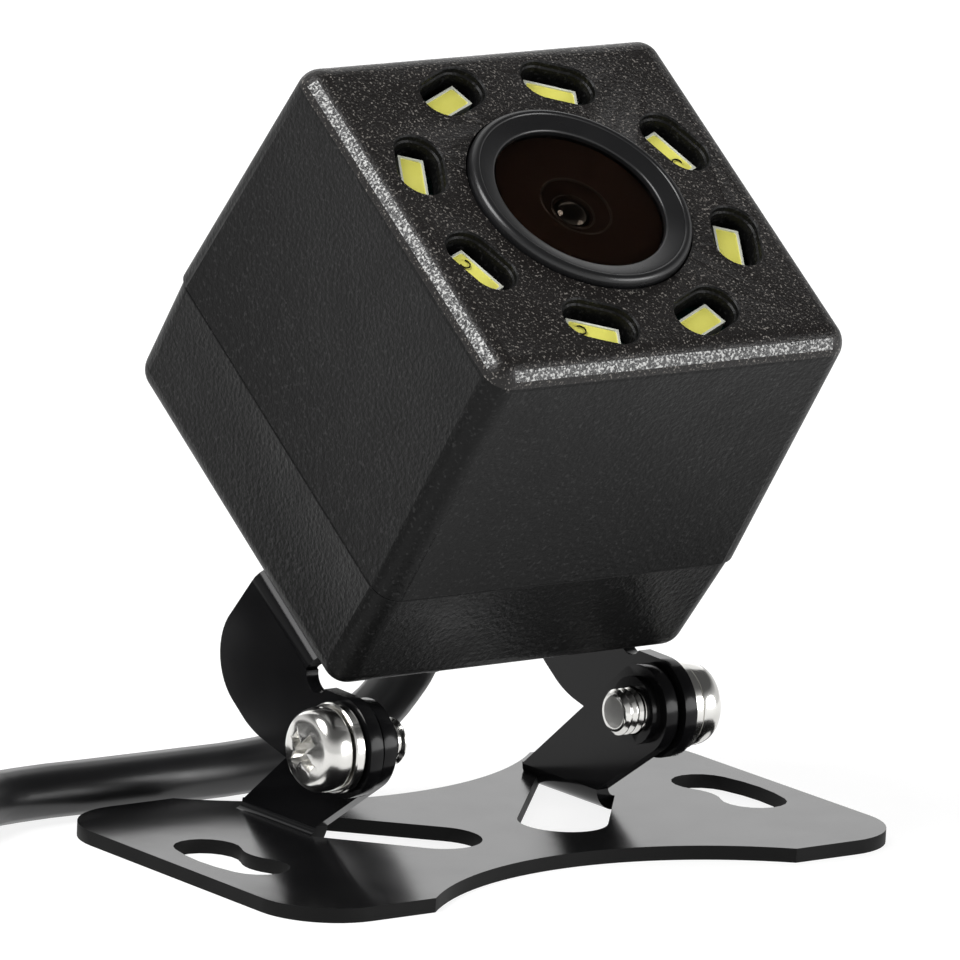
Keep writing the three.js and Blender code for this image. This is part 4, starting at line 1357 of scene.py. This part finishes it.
@dataclass
class CableFittings:
    """Strain relief, strap and plug."""

    cable: Cable
    strap_angle: float = 100.0
    strap_width: float = 5.0
    strap_thickness: float = 0.6
    leg_inner: float = 9.3
    leg_outer: float = 20.2
    strap_top: float = 6.5
    strap_bend: float = 1.2
    strap_break: float = 0.12
    flap_ends: tuple[float, float] = (11.0, 17.2)
    flap_lift: float = 0.6  # the overlapping end above the band

    def relief(self) -> None:
        """The ribbed strain relief behind the camera."""
        relief = turn(
            [
                (1.72, -29.5), (1.8, -29.55), (1.85, -29.45), (1.88, -29.0), (1.72, -28.9), (1.72, -28.6),
                (1.95, -28.5), (2.02, -28.0), (1.85, -27.9), (1.85, -27.6), (2.1, -27.5), (2.18, -27.0),
                (2.0, -26.9), (2.0, -26.65), (2.25, -26.55), (2.3, -26.3), (1.72, -26.27),
            ],
            48,
            ring=True,
        )
        settle(dress(smooth(relief), CABLE_PVC), CABLE_PLACE)
        hand_over(relief, "strain_relief_body", Body.CAMERA, ["strain_relief"])

    def strap(self) -> None:
        """The hook-and-loop strap over the coil, with its overlapping end."""
        centre = Matrix.Translation(Vector((*self.cable.coil_centre, 0)) * MM)
        place = centre @ Matrix.Rotation(math.radians(self.strap_angle), 4, "Z")
        bend, top = self.strap_bend, self.strap_top
        corner = [math.radians(15 * i) for i in range(7)]
        rounds = [(bend * (1 - math.cos(a)), top - bend * (1 - math.sin(a))) for a in corner]
        inner = [(self.leg_inner + x, z) for x, z in rounds]
        outer = [(self.leg_outer - x, z) for x, z in reversed(rounds)]
        loop = [(self.leg_inner, 0.1), *inner, *outer, (self.leg_outer, 0.1)]
        band = soften(strip(loop, self.strap_width, self.strap_thickness), self.strap_break, 2, 60)
        settle(dress(band, STRAP), place)
        hand_over(band, "cable_strap", Body.BASE, ["cable_tie"])
        lifted = [(x, top + self.flap_lift) for x in self.flap_ends]
        flap = strip(lifted, self.strap_width - 0.3, 0.5)
        settle(dress(soften(flap, self.strap_break, 2, 60), STRAP), place)
        hand_over(flap, "cable_strap_end", Body.BASE)

    def plug(self) -> None:
        """The plug: ribbed tail, gripped body and screw ring."""
        x, y = self.cable.coil_centre
        tail_x, tail_y = self.cable.plug_tail
        middle = Vector((x + tail_x, y + tail_y, self.cable.plug_height)) * MM
        place = Matrix.Translation(middle) @ Matrix.Rotation(-math.pi / 2, 4, "Y")
        tail = []
        for rib in range(4):
            start, radius = 1.5 * rib, 2.15 + 0.12 * rib
            tail += [(radius, start + 0.1), (radius + 0.05, start + 0.9)]
            tail += [(radius - 0.25, start + 1.05), (radius - 0.25, start + 1.4)]
        grips = []
        for groove in range(4):
            start = 8.4 + 1.9 * groove
            grips += [(4.0, start), (3.8, start + 0.15), (3.8, start + 0.55), (4.0, start + 0.7)]
        neck = [(3.2, 6.05), (3.7, 6.15), (3.95, 6.4), (4.0, 6.8)]
        end = [(4.0, 16.6), (3.85, 16.95), (3.0, 17.0), (3.0, 20.0)]
        body = turn([(1.6, 0.0), *tail, *neck, *grips, *end], 64)
        settle(dress(smooth(body), PLUG_PVC), place)
        hand_over(body, "plug_body_moulding", Body.BASE, ["plug_body"])
        collar = dress(soften(merged_copy("plug_collar"), 0.12, 2, 30), PLUG_NYLON)
        hand_over(collar, "plug_screw_ring", Body.BASE, ["plug_collar"])

    def build(self) -> None:
        """Builds the fittings."""
        self.relief()
        self.strap()
        self.plug()


INNER_FINISHES = {
    "housing_seal": RUBBER,
    "lens_barrel": LENS_BLACK,
    "inner_lens": INNER_GLASS,
    "lens_holder": LENS_RING,
    "image_sensor": CHIP_EPOXY,
    "main_board": SOLDER_RESIST,
    "processor_chip": CHIP_EPOXY,
    "led_board": SOLDER_RESIST,
    "board_pin_strip": CHIP_EPOXY,
    "board_header": NYLON,
    "cable_inner": CABLE_PVC,
    "cable_grommet": RUBBER,
    "plug_insert": PLUG_NYLON,
}


def main() -> None:
    """Builds the camera and everything round it."""
    logging.basicConfig(level=logging.INFO, format="%(name)s %(message)s")
    Studio().build()
    cable = Cable()
    tube = cable.build()
    for node, finish in INNER_FINISHES.items():
        dress(frame["nodes"][node], finish)
    Bracket().build()
    Fasteners().build()
    housing = Housing()
    housing.build()
    LedLights(housing).build()
    Lens().build()
    CableFittings(cable).build()


if __name__ == "__main__":
    main()
